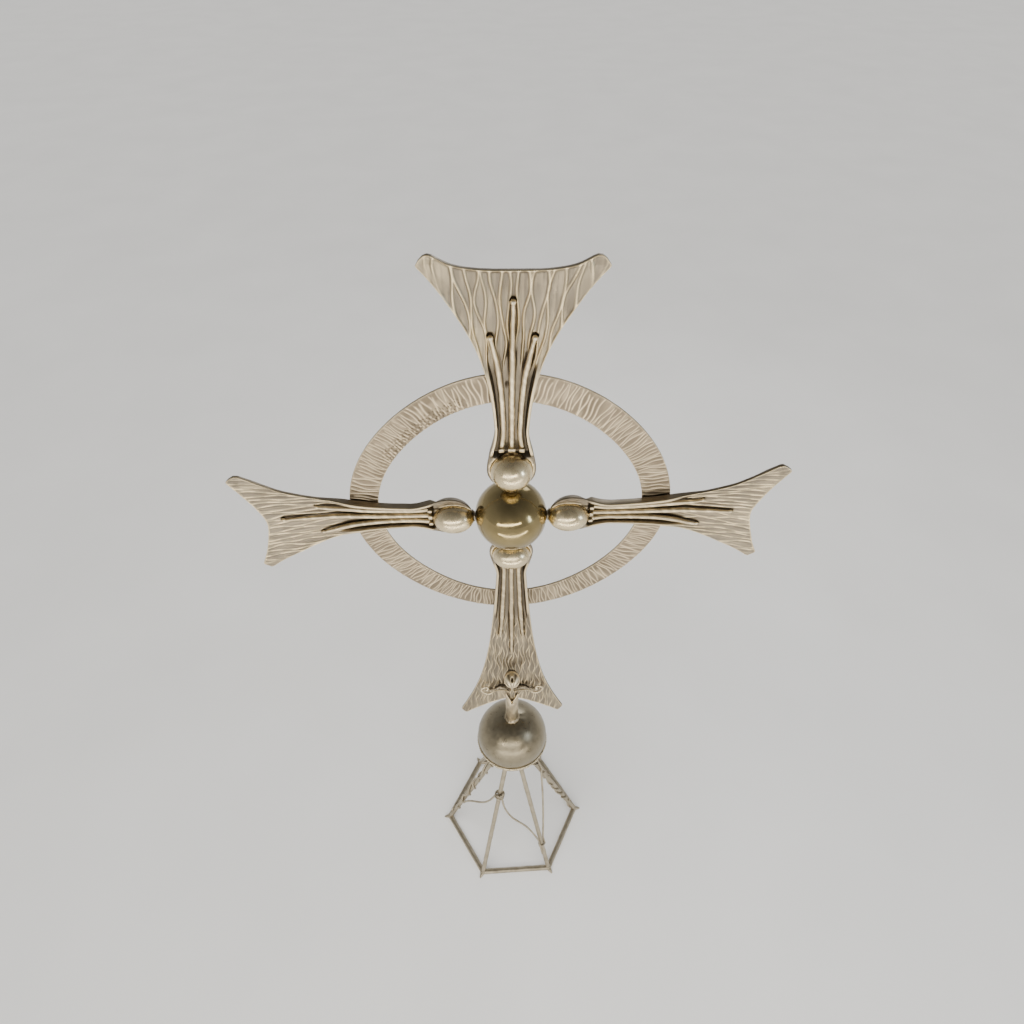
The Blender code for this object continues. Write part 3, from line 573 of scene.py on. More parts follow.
def meeting(arm, i, z):
    """How far the lines i and i + 1 have run together, from 0 to 1."""
    t = z * (0.85 + 0.30 * lottery(i, arm["seed"] + 3)) + 0.5 * np.mod(i, 2)
    t = t + 0.30 * lottery(i, arm["seed"])
    part = t - np.floor(t)
    joined = between(0.02, 0.46, 0.54, 0.98, part)
    return joined * np.where(lottery(i + 31 * np.floor(t), arm["seed"] + 1) < 0.22, 0.35, 1.0)


def line_distance(arm, u, s):
    """Distance to the nearest carved line, the space between lines, and the line's strength."""
    gap = mix(arm["line_in"], arm["line_out"], sweep(arm, s) ** 0.8)
    z = s / arm["lens"]
    x = u / gap + 0.37 + arm["flame"] * 0.42 * np.sin(2 * np.pi * 1.3 * z + 0.45 * u / gap)
    x = x + 0.12 * grain(u / 0.05 + 30, z * 1.3, arm["seed"] + 6)
    first = np.floor(x)
    best = np.full(x.shape, 9.0)
    strength = np.ones(x.shape)
    for k in (-1, 0, 1, 2):
        i = first + k
        phase = lottery(i, arm["seed"] + 1.7)
        place = i + arm["join"] * (meeting(arm, i, z) - meeting(arm, i - 1, z))
        place = place + 0.16 * (phase - 0.5) + 0.03 * np.sin(2 * np.pi * (1.9 * z + phase))
        away = np.abs(x - place)
        fading = np.sin(2 * np.pi * (s / arm["streak"] + 3 * phase))
        power = 1 - arm["faint"] * smooth(-0.4, 0.6, fading)
        strength = np.where(away < best, power, strength)
        best = np.minimum(best, away)
    return best * gap, gap, strength


def soft_least(a, b, k):
    least = np.minimum(a, b)
    return least - k * np.log(np.exp(-(a - least) / k) + np.exp(-(b - least) / k))


def rods_of(arm):
    return (("left", -1, arm["rod_outer_s"]), ("middle", 0, arm["rod_middle_s"]),
            ("right", 1, arm["rod_outer_s"]))


def rod_line(arm, side, s):
    """Place of a rod across the arm at s."""
    tip = arm["rod_outer_s"] if side else arm["rod_middle_s"]
    along = np.maximum((s - SWEEP_S) / (arm["end_s"] - SWEEP_S), 0.0)
    return (side * rod_share(arm, s) * half_width(arm, s)
            + arm["bend"] * along ** 2 + arm["rod_lift"][side + 1] * smooth(SWEEP_S - 0.10, tip, s))


def to_world(arm, u, y, s):
    turn = math.radians(arm["turn"])
    x = u * math.cos(turn) + s * math.sin(turn)
    z = RING_Z - u * math.sin(turn) + s * math.cos(turn)
    return np.stack([x, np.broadcast_to(y, x.shape), z], axis=-1)


def hub_matrix(arm):
    return Matrix.Translation((0.0, 0.0, RING_Z)) @ Matrix.Rotation(math.radians(arm["turn"]), 4, "Y")


def arm_grid(arm, shares, rows):
    """u, s and the distance to the arm's end for a grid of rows and places across."""
    table_u, table_s = end_table(arm)
    middle = rows[:, None]
    share = np.broadcast_to(shares[None, :], (len(rows), len(shares)))
    along = np.maximum((middle - SWEEP_S) / (arm["end_s"] - SWEEP_S), 0.0)
    end = np.interp(share * arm["corner_half"], table_u, table_s)
    s = middle + (end - arm["end_s"]) * along ** 2
    u = share * half_width(arm, s) + arm["bend"] * along ** 2
    return share, u, s, np.maximum(end - s, 0.0)


def rim_distance(arm, share, s, to_end):
    """Distance to the arm's nearest rim."""
    return np.minimum((1 - np.abs(share)) * half_width(arm, s), to_end)


def carve(arm, label, share, u, s, to_end):
    """Height of the carving towards the viewer, with how bright a crest is and how dark each point is,
    mostly painted shade in grooves, gaps and pits and beside the rods.
    """
    edge = rim_distance(arm, share, s, to_end)
    lines, gap, power = line_distance(arm, u, s)
    # carved lines, with the plate hollowed out between them
    near = np.maximum(soft_least(lines, np.maximum(edge - 0.0012, 0.0) * 1.1, 0.0014), 0.0)
    strength = smooth(0.01, 0.22, sweep(arm, s))
    tips = smooth(0.80, 0.95, np.abs(share)) * smooth(0.62, 0.92, sweep(arm, s))
    strength = strength * (1 - 0.70 * tips)
    line = np.exp(-(near / arm["crest"]) ** 2)
    hollow = smooth(0.0, 0.36, near / gap)
    height = strength * (arm["crest_high"] * line * power - arm["hollow"] * hollow)
    # tool marks and worn streaks
    height = height + 0.00030 * grain(u / 0.0035 + 90, s / 0.022, arm["seed"] + 2) * strength
    height = height + 0.0006 * grain(u / 0.020 + 20, s / 0.045, arm["seed"] + 4) * plate_share(s)
    streak = grain(u / 0.0042 + 70, s / 0.060, arm["seed"] + 8)
    crest = strength * arm["tone"] * np.minimum(1.25 * line, 1.0) * power
    crest = crest + 0.18 * np.maximum(streak, 0.0) * plate_share(s)
    worn = smooth(0.35, 0.8, grain(u / 0.035 + 15, s / 0.07, arm["seed"] + 9)) * plate_share(s)
    crest = np.maximum(crest, 0.40 * worn * (0.6 + 0.4 * streak))
    rim = np.exp(-(np.maximum(edge - 0.0008, 0.0) / 0.0019) ** 2)
    crest = np.maximum(crest, 0.95 * rim * smooth(arm["channel_s"], arm["channel_s"] + 0.05, s))
    # rims and bottom of the channel, with painted shade on the channel floor that is darkest in the
    # gutters beside the rims
    plate = plate_share(s)
    in_channel = smooth(arm["channel_s"] - 0.024, arm["channel_s"] - 0.012, s)
    in_channel = in_channel * (1 - smooth(0.0, 0.75, plate))
    far = np.abs(share)
    gutter = between(0.50, 0.66, 0.78, 0.84, far)
    dark = in_channel * (0.12 * (1 - smooth(0.76, 0.82, far)) + 0.28 * gutter)
    rounded_lip = between(0.83, 0.89, 0.97, 1.0, far)
    crest = np.maximum(crest, 0.70 * rounded_lip * in_channel)
    # grooves along the rods with painted shadows beside them, and pits beyond their tips painted dark as
    # the shade inside them
    upper = -math.sin(math.radians(arm["turn"]))
    for _, side, tip in rods_of(arm):
        radius = mix(ROD_RADIUS, ROD_TIP_RADIUS, smooth(SWEEP_S, tip, s))
        offset = u - rod_line(arm, side, np.minimum(s, tip))
        past = np.maximum(s - tip, 0.0)
        away = np.hypot(offset, past * 1.3)
        groove = np.exp(-(away / (radius + 0.0024)) ** 4)
        height = height - groove * 0.0034 * plate * (1 - smooth(0.0, 0.010, past))
        crest = crest * (1 - 0.9 * groove)
        if abs(upper) > 0.5:
            # a level rod has most of its shadow on one side
            above = smooth(-0.2, 0.6, offset * upper / radius)
            reach, weight = mix(0.0013, 0.0019, above), 0.90 * mix(0.35, 1.0, above)
        else:
            # an upright rod has a thin shadow on both sides, which fades outwards
            outwards = smooth(0.3, 0.9, (s - SWEEP_S) / (tip - SWEEP_S))
            reach, weight = 0.00136, mix(0.90, 0.50, outwards) * 0.7075
        shade = np.exp(-(np.maximum(away - radius, 0.0) / reach) ** 2) * (1 - smooth(0.0, 0.004, past))
        dark = np.maximum(dark, shade * weight)
        if label != "bottom" or side:
            pit = np.hypot(offset, s - tip + 0.6 * arm["bulb"]) / arm["pit"]
            hole = 1 - smooth(0.72, 1.05, pit)
            height = height - PIT_DEPTH * hole
            # painted shade: the pit is darkened nearly to black
            dark = np.maximum(dark, 0.97 * (1 - smooth(0.86, 1.10, pit)))
            crest = crest * (1 - hole)
    # rough cup with a lip round the egg
    in_cup = 1 - smooth(arm["channel_s"] - 0.040, arm["channel_s"] - 0.018, s)
    rough = grain(u / 0.0055 + 60, s / 0.0060, arm["seed"] + 12)
    out = np.hypot(u / (arm["egg_wide"] / 2), (s - arm["egg_s"]) / (arm["egg_long"] / 2))
    lip = np.exp(-((out - 1.06) / 0.05) ** 2)
    height = height + in_cup * (0.0012 * lip + 0.0007 * rough)
    crest = np.where(in_cup > 0.5, np.clip(0.75 * lip + 0.25 * rough, 0, 1), crest)
    dark = np.maximum(dark, in_cup * (1 - lip) * (0.22 + 0.18 * rough))
    # the plate's rim, with its side wall painted dark as shade
    border = edge < 1e-5
    crest, dark = np.where(border, 0.15, crest), np.where(border, 0.30, dark)
    if label == "top":
        # a small nick beside the middle rod
        nick = np.exp(-(np.hypot((u + 0.0115) / 0.0045, (s - 0.430) / 0.0085)) ** 4)
        height = height - 0.0030 * nick
        dark = np.maximum(dark, 0.75 * nick)
    if label == "bottom":
        height, crest, dark = carve_foot(u, s, height, crest, dark)
    return height, np.clip(crest, 0, 1), np.clip(dark, 0, 1)


def carve_foot(u, s, height, crest, dark):
    """Hollows above the scrolls and behind the bud, painted dark as the shade under the scrolls and the
    bud, and the swell in the stem's notch.
    """
    side = np.abs(u)
    arch = CRESCENT_S + 22.0 * (side - 0.037) ** 2
    crescent = np.exp(-((s - arch) / CRESCENT_HALF) ** 4)
    crescent = crescent * between(0.004, 0.012, 0.062, 0.072, side)
    pocket = np.exp(-(np.hypot((side - 0.082) / 0.013, (s - 0.931) / 0.0065)) ** 4)
    crescent = np.maximum(crescent, 0.9 * pocket)
    bud = np.exp(-(np.hypot(u / 0.019, (s - BUD_HOLLOW_S) / 0.024)) ** 5)
    notch = np.exp(-(side / 0.0215) ** 8) * between(0.928, 0.946, 0.9915, 0.9940, s)
    height = height - 0.0045 * crescent - 0.0040 * bud + 0.0080 * notch
    # painted shade in the crescents above the scrolls and in the hollow behind the bud
    dark = np.maximum(dark, 0.97 * np.maximum(crescent, bud))
    return height, crest * (1 - np.maximum(crescent, bud)), dark


def round_over(edge, radius):
    """How far a surface falls back near its edge."""
    inside = np.clip(1 - edge / radius, 0.0, 1.0)
    return radius * (1 - np.sqrt(1 - inside ** 2 * 0.999))


def build_arm(label, arm):
    half = 130
    even = np.linspace(0, 1, half + 1)
    shares = np.concatenate([-even[::-1], even[1:]])
    step = 6
    back_shares = shares[::step]
    cup_s, channel_s = arm["cup_s"], arm["channel_s"]
    rows = list(np.linspace(cup_s - 0.94 * CUP_RADIUS, channel_s - 0.03, 26))
    rows += list(np.linspace(channel_s - 0.0288, channel_s - 0.010, 16))
    rows += list(np.linspace(channel_s - 0.005, SWEEP_S, 46))
    rows += list(np.linspace(SWEEP_S, arm["end_s"] - 0.002, arm["plate_rows"])[1:])
    for _, _, tip in rods_of(arm):
        rows += list(tip + np.linspace(-0.5, 1.7, 9) * arm["pit"])
    rows += [arm["end_s"] - 0.0014, arm["end_s"] - 0.0007, arm["end_s"] - 0.0002, arm["end_s"]]
    rows = np.unique(np.round(rows, 5))
    share, u, s, to_end = arm_grid(arm, shares, rows)
    height, crest, dark = carve(arm, label, share, u, s, to_end)
    edge = rim_distance(arm, share, s, to_end)
    radius = mix(0.0038, 0.0022, plate_share(s))
    y = base_y(arm, s, share) - height + round_over(edge, radius)
    y = np.where(plate_share(s) > 0.5, np.minimum(y, back_y(arm, s, share) - PLATE_LEAST), y)
    front = to_world(arm, u, y, s)
    share_b, u_b, s_b, to_end_b = arm_grid(arm, back_shares, rows)
    edge_b = rim_distance(arm, share_b, s_b, to_end_b)
    y_b = back_y(arm, s_b, share_b) - round_over(edge_b, 0.0016)
    y_b = y_b - 0.0006 * grain(u_b / 0.018 + 30, s_b / 0.03, arm["seed"])
    y_b = np.where(edge_b < 1e-6, np.maximum(y_b, y[:, ::step] + 0.0015), y_b)
    back = to_world(arm, u_b, y_b, s_b)

    # the pin between the cup and the centre ball
    pin_rows = np.linspace(BALL_RADIUS + BALL_SWELL + CLEARANCE, rows[0] - 0.001, 6)
    pin_share = np.broadcast_to(shares[None, :], (6, len(shares)))
    swell = np.broadcast_to(pin_rows[:, None], pin_share.shape)
    pin_wide = PIN_RADIUS * (1 + 0.40 * smooth(pin_rows[2], pin_rows[-1], swell))
    depth = pin_wide * np.sqrt(1 - 0.92 * pin_share ** 2)
    pin_front = to_world(arm, pin_share * pin_wide, PIN_Y - depth, swell)
    pin_back = to_world(arm, (pin_share * pin_wide)[:, ::step], (PIN_Y + depth)[:, ::step],
                        swell[:, ::step])
    front = np.concatenate([pin_front, front])
    back = np.concatenate([pin_back, back])
    pad = np.zeros(pin_share.shape)
    crest = np.concatenate([pad + 0.2, crest])
    dark = np.concatenate([pad + 0.25, dark])

    f = numbers(*front.shape[:2])
    b = numbers(*back.shape[:2], first=f.size)
    faces = grid_faces(f).tolist() + grid_faces(b)[:, ::-1].tolist()
    faces += grid_faces(np.stack([b[:, 0], f[:, 0]], axis=1)).tolist()
    faces += grid_faces(np.stack([f[:, -1], b[:, -1]], axis=1)).tolist()
    for row, flip in ((0, False), (-1, True)):
        for i in range(b.shape[1] - 1):
            face = f[row, step * i:step * (i + 1) + 1].tolist() + [int(b[row, i + 1]), int(b[row, i])]
            faces.append(face if flip else face[::-1])
    points = np.concatenate([front.reshape(-1, 3), back.reshape(-1, 3)])
    mesh = mesh_of("carved_" + label, points, faces)
    low_dark = 0.14 + 0.10 * grain(back[..., 0] / 0.01 + 200, back[..., 2] / 0.012, 2.0).ravel()
    paint(mesh, np.concatenate([crest.ravel(), np.zeros(b.size)]),
          np.concatenate([dark.ravel(), low_dark]))
    obj = make_object("carved_" + label, mesh, "arm_bronze", 40)

    bowl = oval_mesh("bowl", arm["egg_wide"] + 2 * BOWL_GAP, arm["egg_deep"] + 2 * BOWL_GAP,
                     arm["egg_long"] + 2 * BOWL_GAP, 72, 48)
    bowl.transform(hub_matrix(arm) @ Matrix.Translation((0.0, arm["egg_y"], arm["egg_s"])))
    # the hollow round the egg is painted half dark, as the shade between the egg and its cup
    paint(bowl, 0.0, 0.50)
    cut(obj, [bowl])
    obj.data.shade_smooth()
    obj.data.set_sharp_from_angle(angle=math.radians(40))
    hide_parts("arm_" + label)


def build_rods(label, arm):
    """Rods with a small bulb at the tip, each set in a bevelled block beside the egg."""
    for place, side, tip in rods_of(arm):
        start = arm["rod_s"]
        s = np.concatenate([np.linspace(start, tip - 0.016, 100), np.linspace(tip - 0.0155, tip, 14)])
        radius = mix(ROD_RADIUS, ROD_TIP_RADIUS, smooth(SWEEP_S, tip, s))
        seed = arm["seed"] + side
        u = rod_line(arm, side, s) + 0.0006 * grain(s / 0.035 + 11, 0 * s + seed, seed)
        y = base_y(arm, s, u / half_width(arm, s)) - (radius * 1.05 + 2 * CLEARANCE)
        y = y + 0.0030 * smooth(tip - 0.012, tip, s)
        away = (tip - arm["bulb"] - s) / arm["bulb"]
        ball = arm["bulb"] * np.sqrt(np.maximum(1 - away ** 2, 0.0))
        radius = np.where(s > tip - arm["bulb"], np.maximum(ball, 0.0006), np.maximum(ball, radius))
        path = to_world(arm, u, y, s)
        mesh = tube_mesh("rod", path, radius, 18, lump=0.00022, seed=seed)
        u0 = float(rod_line(arm, side, start))
        bm = bmesh.new()
        bmesh.ops.create_cube(bm, size=1.0)
        wide = arm["block_wide"] * (1.0 if side == 0 else 0.75)
        bmesh.ops.scale(bm, vec=(wide, 0.0190, 0.0125), verts=bm.verts)
        bmesh.ops.bevel(bm, geom=bm.edges[:], offset=0.0024, segments=3, profile=0.5, affect="EDGES")
        centre = to_world(arm, np.array(u0), CHANNEL_FLOOR_Y - 0.0125, np.array(start - 0.0055))
        turn = Matrix.Rotation(math.radians(arm["turn"]), 4, "Y")
        place_block = Matrix.Translation(Vector(centre.tolist())) @ turn
        bmesh.ops.transform(bm, matrix=place_block, verts=bm.verts)
        bm.from_mesh(mesh)
        bm.to_mesh(mesh)
        bm.free()
        co = points_of(mesh)
        worn = grain(co[:, 0] / 0.01 + co[:, 2] / 0.013 + 60, co[:, 2] / 0.02, seed)
        worn = smooth(-0.3, 1.0, worn)
        turned = math.radians(arm["turn"])
        along = co[:, 0] * math.sin(turned) + (co[:, 2] - RING_Z) * math.cos(turned)
        # a painted highlight: the bulb at each tip is painted fully bright, on top of the worn patches
        worn = np.maximum(worn, smooth(tip - 2.4 * arm["bulb"], tip - 1.6 * arm["bulb"], along))
        paint(mesh, 0.25 + 0.65 * worn, 0.10 * (1 - worn))
        obj = make_object("worn_rod_%s_%s" % (label, place), mesh, "rod_bronze", 45)
        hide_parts("rod_%s_%s" % (label, place))


def build_egg(label, arm):
    mesh = oval_mesh("egg", arm["egg_wide"], arm["egg_deep"], arm["egg_long"], 96, 64)
    mesh.transform(hub_matrix(arm) @ Matrix.Translation((0.0, arm["egg_y"], arm["egg_s"])))
    obj = make_object("polished_egg_" + label, mesh, "egg_bronze")
    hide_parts("egg_" + label)


# Ring

def build_ring():
    steps, columns = 1800, 22
    angle = np.linspace(0, 2 * np.pi, steps, endpoint=False)[:, None]
    outer = RING_RADIUS + RING_LOBE * np.cos(4 * angle)
    t = np.linspace(0, 1, columns)[None, :]
    t = np.concatenate([[[0.0, 0.008, 0.022]], 0.04 + 0.92 * t, [[0.978, 0.992, 1.0]]], axis=1)
    radius = outer - RING_BAND * t
    turns = angle / (2 * np.pi)
    x = turns * RING_STROKES + 0.6 * np.sin(2 * np.pi * turns * 7) + 0.3 * np.sin(2 * np.pi * turns * 17)
    slant = 0.9 * np.sin(2 * np.pi * turns * 5 + 1.0) + 0.6 * np.sin(2 * np.pi * turns * 11)
    x = x + (t - 0.5) * slant
    first = np.floor(x)
    best = np.full(np.broadcast(x, t).shape, 9.0)
    for k in (-1, 0, 1, 2):
        i = first + k
        whole = np.mod(i, RING_STROKES)
        one, two, three = lottery(whole, 1.0), lottery(whole, 2.0), lottery(whole, 3.0)
        place = i + 0.38 * (one - 0.5) + 0.26 * np.sin(2 * np.pi * (0.9 * t + two))
        reach = smooth(0.0, 0.10, t - 0.30 * (three - 0.65))
        reach = reach * (1 - smooth(0.0, 0.12, t - 0.80 - 0.3 * two))
        best = np.minimum(best, np.abs(x - place) + 0.20 * (1 - reach))
    gap = 2 * np.pi * radius / RING_STROKES
    line = np.exp(-(best * gap / 0.0016) ** 2)
    hollow = smooth(0.0, 0.45, best)
    turn_x = np.sin(angle) * radius
    turn_z = np.cos(angle) * radius
    coarse = grain(turn_x / 0.05 + 40, turn_z / 0.05 + 40, 5.0)
    depth = 0.0010 + 0.0005 * coarse
    height = 0.0003 * line - depth * hollow
    height = height + 0.00025 * grain(x * 2.3, t * 6 + 3, 8.0)
    # small punched pits near the inner edge, upper left
    share = np.degrees(np.mod(angle, 2 * np.pi))
    here = between(292, 304, 338, 350, share) * smooth(0.42, 0.62, t)
    cell_x, cell_y = turn_x / 0.0095 + 100, turn_z / 0.0095 + 100
    pit = np.zeros(height.shape)
    for dx in (-1, 0, 1):
        for dy in (-1, 0, 1):
            cx, cy = np.floor(cell_x) + dx, np.floor(cell_y) + dy
            px = cx + 0.2 + 0.6 * lottery(cx + 57 * cy, 1.3)
            py = cy + 0.2 + 0.6 * lottery(cx + 57 * cy, 2.9)
            away = np.hypot(cell_x - px, cell_y - py)
            pit = np.maximum(pit, np.exp(-(away / 0.30) ** 4))
    height = height * (1 - 0.6 * here) - 0.0022 * pit * here
    edge = np.minimum(t, 1 - t) * RING_BAND
    y = RING_FRONT_Y + 0.0003 - height + round_over(edge, 0.0018)
    z = RING_Z - RING_DROP + turn_z
    front = np.stack([turn_x, y, z], axis=-1)
    tb = np.array([[0.0, 0.02, 0.5, 0.98, 1.0]])
    radius_b = outer - RING_BAND * tb
    y_b = RING_FRONT_Y + RING_THICKNESS - round_over(np.minimum(tb, 1 - tb) * RING_BAND, 0.0015)
    x_b, z_b = np.sin(angle) * radius_b, np.cos(angle) * radius_b
    y_b = y_b - 0.0003 - 0.0003 * grain(x_b / 0.02 + 50, z_b / 0.02 + 50, 2.0)
    back = np.stack([x_b, y_b, z_b + RING_Z - RING_DROP], axis=-1)
    points = np.concatenate([front, back[:, ::-1]], axis=1)
    index = numbers(*points.shape[:2])
    index = np.concatenate([index, index[:1]])
    faces = grid_faces(index, closed=True).tolist()
    mesh = mesh_of("ring", points, faces)
    rim = np.exp(-(edge / 0.0022) ** 2) * np.ones(line.shape)
    tone = 0.5 + 0.5 * grain(turn_x / 0.03 + 60, turn_z / 0.03 + 60, 9.0)
    crest = np.maximum((0.55 + 0.40 * tone) * line, 0.8 * rim)
    crest = np.maximum(crest, 0.35 * smooth(0.1, 0.8, grain(x * 1.1, t * 2 + 5, 4.0)))
    dark = np.maximum(0.22 * hollow * (1 - 0.7 * coarse), 0.70 * pit * here)
    filler = np.zeros((steps, back.shape[1]))
    paint(mesh, np.concatenate([np.clip(crest, 0, 1), filler], axis=1),
          np.concatenate([np.clip(dark, 0, 1), filler + 0.2], axis=1))
    obj = make_object("chiselled_ring", mesh, "ring_bronze", 40)
    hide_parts("ring")


# Balls, stem, bud and scrolls

def build_balls():
    mesh = lathe_mesh("ball", ball_points(BALL_RADIUS + BALL_SWELL, steps=80), 144)
    mesh.transform(Matrix.Translation((0.0, BALL_Y, RING_Z)))
    ball = make_object("polished_ball", mesh, "ball_bronze")
    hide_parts("centre_ball")

    def uneven(radius, z, angle):
        bump = 1 + 0.0035 * grain(3 * np.cos(angle) + 8 + z * 9, 3 * np.sin(angle) + 8 + z * 5, 4.0)
        return radius * bump, z * bump
    mesh = lathe_mesh("lower", ball_points(LOWER_BALL_RADIUS - 0.0004, steps=72), 144, uneven)
    mesh.transform(Matrix.Translation((0.0, 0.0, STAND_HEIGHT)))
    lower = make_object("dark_ball", mesh, "dark_bronze")
    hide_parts("lower_ball")

    outer = LOWER_BALL_RADIUS + CLEARANCE + BALL_CUP_WALL
    inner = ball_points(LOWER_BALL_RADIUS + 0.0006, BALL_CUP_LATITUDE, -90.0, 30)[::-1]
    profile = np.concatenate([ball_points(outer, BALL_CUP_LATITUDE, -90.0, 30)[:-1],
                              [(0.0008, -outer)], [(0.0008, inner[0][1])], inner[1:]])

    def wavy(radius, z, angle):
        near = smooth(-0.10, -0.04, z)
        rough = grain(6 * np.cos(angle) + 9, 6 * np.sin(angle) + 9 + z * 20, 3.0)
        fine = grain(angle * 34, z * 160 + 30, 6.0)
        return radius * (1 + 0.006 * near * rough + 0.004 * near * fine), z + 0.0026 * near * rough
    mesh = lathe_mesh("cup", profile, 180, wavy)
    mesh.transform(Matrix.Translation((0.0, 0.0, STAND_HEIGHT)))
    paint(mesh, 0.25, 0.10)
    cup = make_object("welded_ball_cup", mesh, "stem_bronze", 50)
    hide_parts("ball_cup")
    for name, latitude, wide, seed in (("rim_weld", -13.0, 0.0056, 3.0),
                                       ("lower_weld", -19.5, 0.0048, 8.0)):
        turn = np.linspace(0, 2 * np.pi, 420, endpoint=False)
        reach = LOWER_BALL_RADIUS + 0.0015
        uphill = grain(8 * np.cos(turn) + 30, 8 * np.sin(turn) + 30, seed)
        level = math.radians(latitude) + 0.010 * uphill
        circle = np.stack([reach * np.cos(level) * np.cos(turn), reach * np.cos(level) * np.sin(turn),
                           STAND_HEIGHT + reach * np.sin(level)], axis=1)
        beads = wide * (1 + 0.14 * np.sin(turn * 96) + 0.16 * grain(turn * 20, 0 * turn + 4, seed))
        weld = hoop_mesh(name, circle, beads)
        co = points_of(weld)
        marks = grain(np.arctan2(co[:, 1], co[:, 0]) * 30 + 200, co[:, 2] / 0.004 + 300, seed)
        paint(weld, 0.55, 0.10 + 0.55 * smooth(0.2, 0.8, marks))
        make_object(name, weld, "stem_bronze", 50)


def build_stem():
    arm = ARMS["bottom"]
    low_z = STAND_HEIGHT + math.sqrt(LOWER_BALL_RADIUS ** 2 - STEM_BEAD_RADIUS ** 2)
    top_z = RING_Z - arm["end_s"] + STEM_OVERLAP
    profile = [(0.0, top_z), (STEM_RADIUS * 0.96, top_z), (STEM_RADIUS, top_z - 0.001)]
    profile += [(STEM_RADIUS, mix(top_z, low_z + 0.018, t)) for t in np.linspace(0.05, 1.0, 40)]
    profile += [(STEM_RADIUS * 1.03, low_z + 0.014), (STEM_BEAD_RADIUS * 0.95, low_z + 0.011),
                (STEM_BEAD_RADIUS, low_z + 0.007), (STEM_BEAD_RADIUS, low_z + 0.002),
                (STEM_BEAD_RADIUS * 0.96, low_z - 0.001), (STEM_BEAD_RADIUS * 0.80, low_z + 0.0015),
                (0.0, low_z + 0.004)]

    def uneven(radius, z, angle):
        bead = 1 - smooth(low_z + 0.010, low_z + 0.022, z)
        lump = grain(4 * np.cos(angle) + 9 + z * 30, 4 * np.sin(angle) + 9 + z * 70, 2.0)
        streak = grain(angle * 9, z * 25, 5.0)
        return radius * (1 + 0.065 * bead * lump + 0.006 * streak * (radius > 0)), z
    mesh = lathe_mesh("stem", profile, 96, uneven)
    flat_z = RING_Z - float(np.interp(0.0, *end_table(arm)))
    co = points_of(mesh)
    flat = mix(1.0, STEM_FLATNESS, smooth(flat_z - 0.030, flat_z + 0.012, co[:, 2]))
    co[:, 1] = np.where(co[:, 1] < 0, co[:, 1] * flat, co[:, 1])
    move_points(mesh, co)
    stem = make_object("forked_stem", mesh, "stem_bronze", 40)
    edge_s = float(np.interp(STEM_RADIUS * 1.8, *end_table(arm)))
    start_s = arm["end_s"] - STEM_OVERLAP
    front = float(min(floor_y(arm, arm["end_s"]), floor_y(arm, start_s))) - RIDGE_HEIGHT
    back = float(back_y(arm, start_s, 0.0))
    gap = 2 * CLEARANCE
    reach = 2 * STEM_RADIUS
    slot = bpy.data.meshes.new("slot")
    bm = bmesh.new()
    bmesh.ops.create_cube(bm, size=1.0)
    low = Vector((-reach, front - gap, RING_Z - edge_s - gap))
    high = Vector((reach, back + gap, top_z + reach))
    for vertex in bm.verts:
        vertex.co = [(a + b) / 2 + c * (b - a) for a, b, c in zip(low, high, vertex.co)]
    bm.to_mesh(slot)
    bm.free()
    tip_z = top_z - NOTCH_DEPTH
    spread, rise = STEM_RADIUS * 1.25, NOTCH_DEPTH * 1.25
    corners = [(0.0, 0.0), (spread, rise), (0.0, rise * 1.4), (-spread, rise)]
    ends = ((-reach, NOTCH_FLARE, NOTCH_DROP), (reach, 1.0, 0.0))
    wedge = [(x * wide, y, tip_z - drop + z) for y, wide, drop in ends for x, z in corners]
    faces = [[0, 1, 2, 3], [7, 6, 5, 4]]
    faces += [[i, i + 4, (i + 1) % 4 + 4, (i + 1) % 4] for i in range(4)]
    notch = mesh_of("notch", wedge, faces)
    cut(stem, [slot, notch])
    mesh = stem.data
    co = points_of(mesh)
    worn = smooth(-0.2, 0.9, grain(co[:, 0] / 0.008 + 30, co[:, 2] / 0.02 + 30, 6.0))
    paint(mesh, 0.5 * worn, 0.4 * (1 - smooth(low_z + 0.004, low_z + 0.020, co[:, 2])))
    mesh.shade_smooth()
    mesh.set_sharp_from_angle(angle=math.radians(35))
    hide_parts("stem")
    for side in (-1, 1):
        across = np.linspace(0.0, STEM_RADIUS * 0.93, 40)
        lip_y = -STEM_FLATNESS * np.sqrt(STEM_RADIUS ** 2 - across ** 2)
        inward = (lip_y + reach) / (2 * reach)
        wide = spread * mix(NOTCH_FLARE, 1.0, inward)
        z = tip_z - NOTCH_DROP * (1 - inward) + across * rise / wide
        lip = np.stack([side * across, lip_y, z], axis=1)
        mesh = tube_mesh("lip", lip, NOTCH_LIP_RADIUS, 10, lump=0.0003, seed=4.0 + side)
        paint(mesh, 0.95, 0.0)
        label = "left" if side < 0 else "right"
        make_object("notch_lip_" + label, mesh, "stem_bronze", 50)


def plate_front(s, u):
    """Front of the bottom arm's plate."""
    arm = ARMS["bottom"]
    share = np.clip(np.abs(u) / half_width(arm, s), 0.0, 1.0)
    return base_y(arm, s, share) - RIDGE_HEIGHT * smooth(0.03, 0.30, sweep(arm, s))


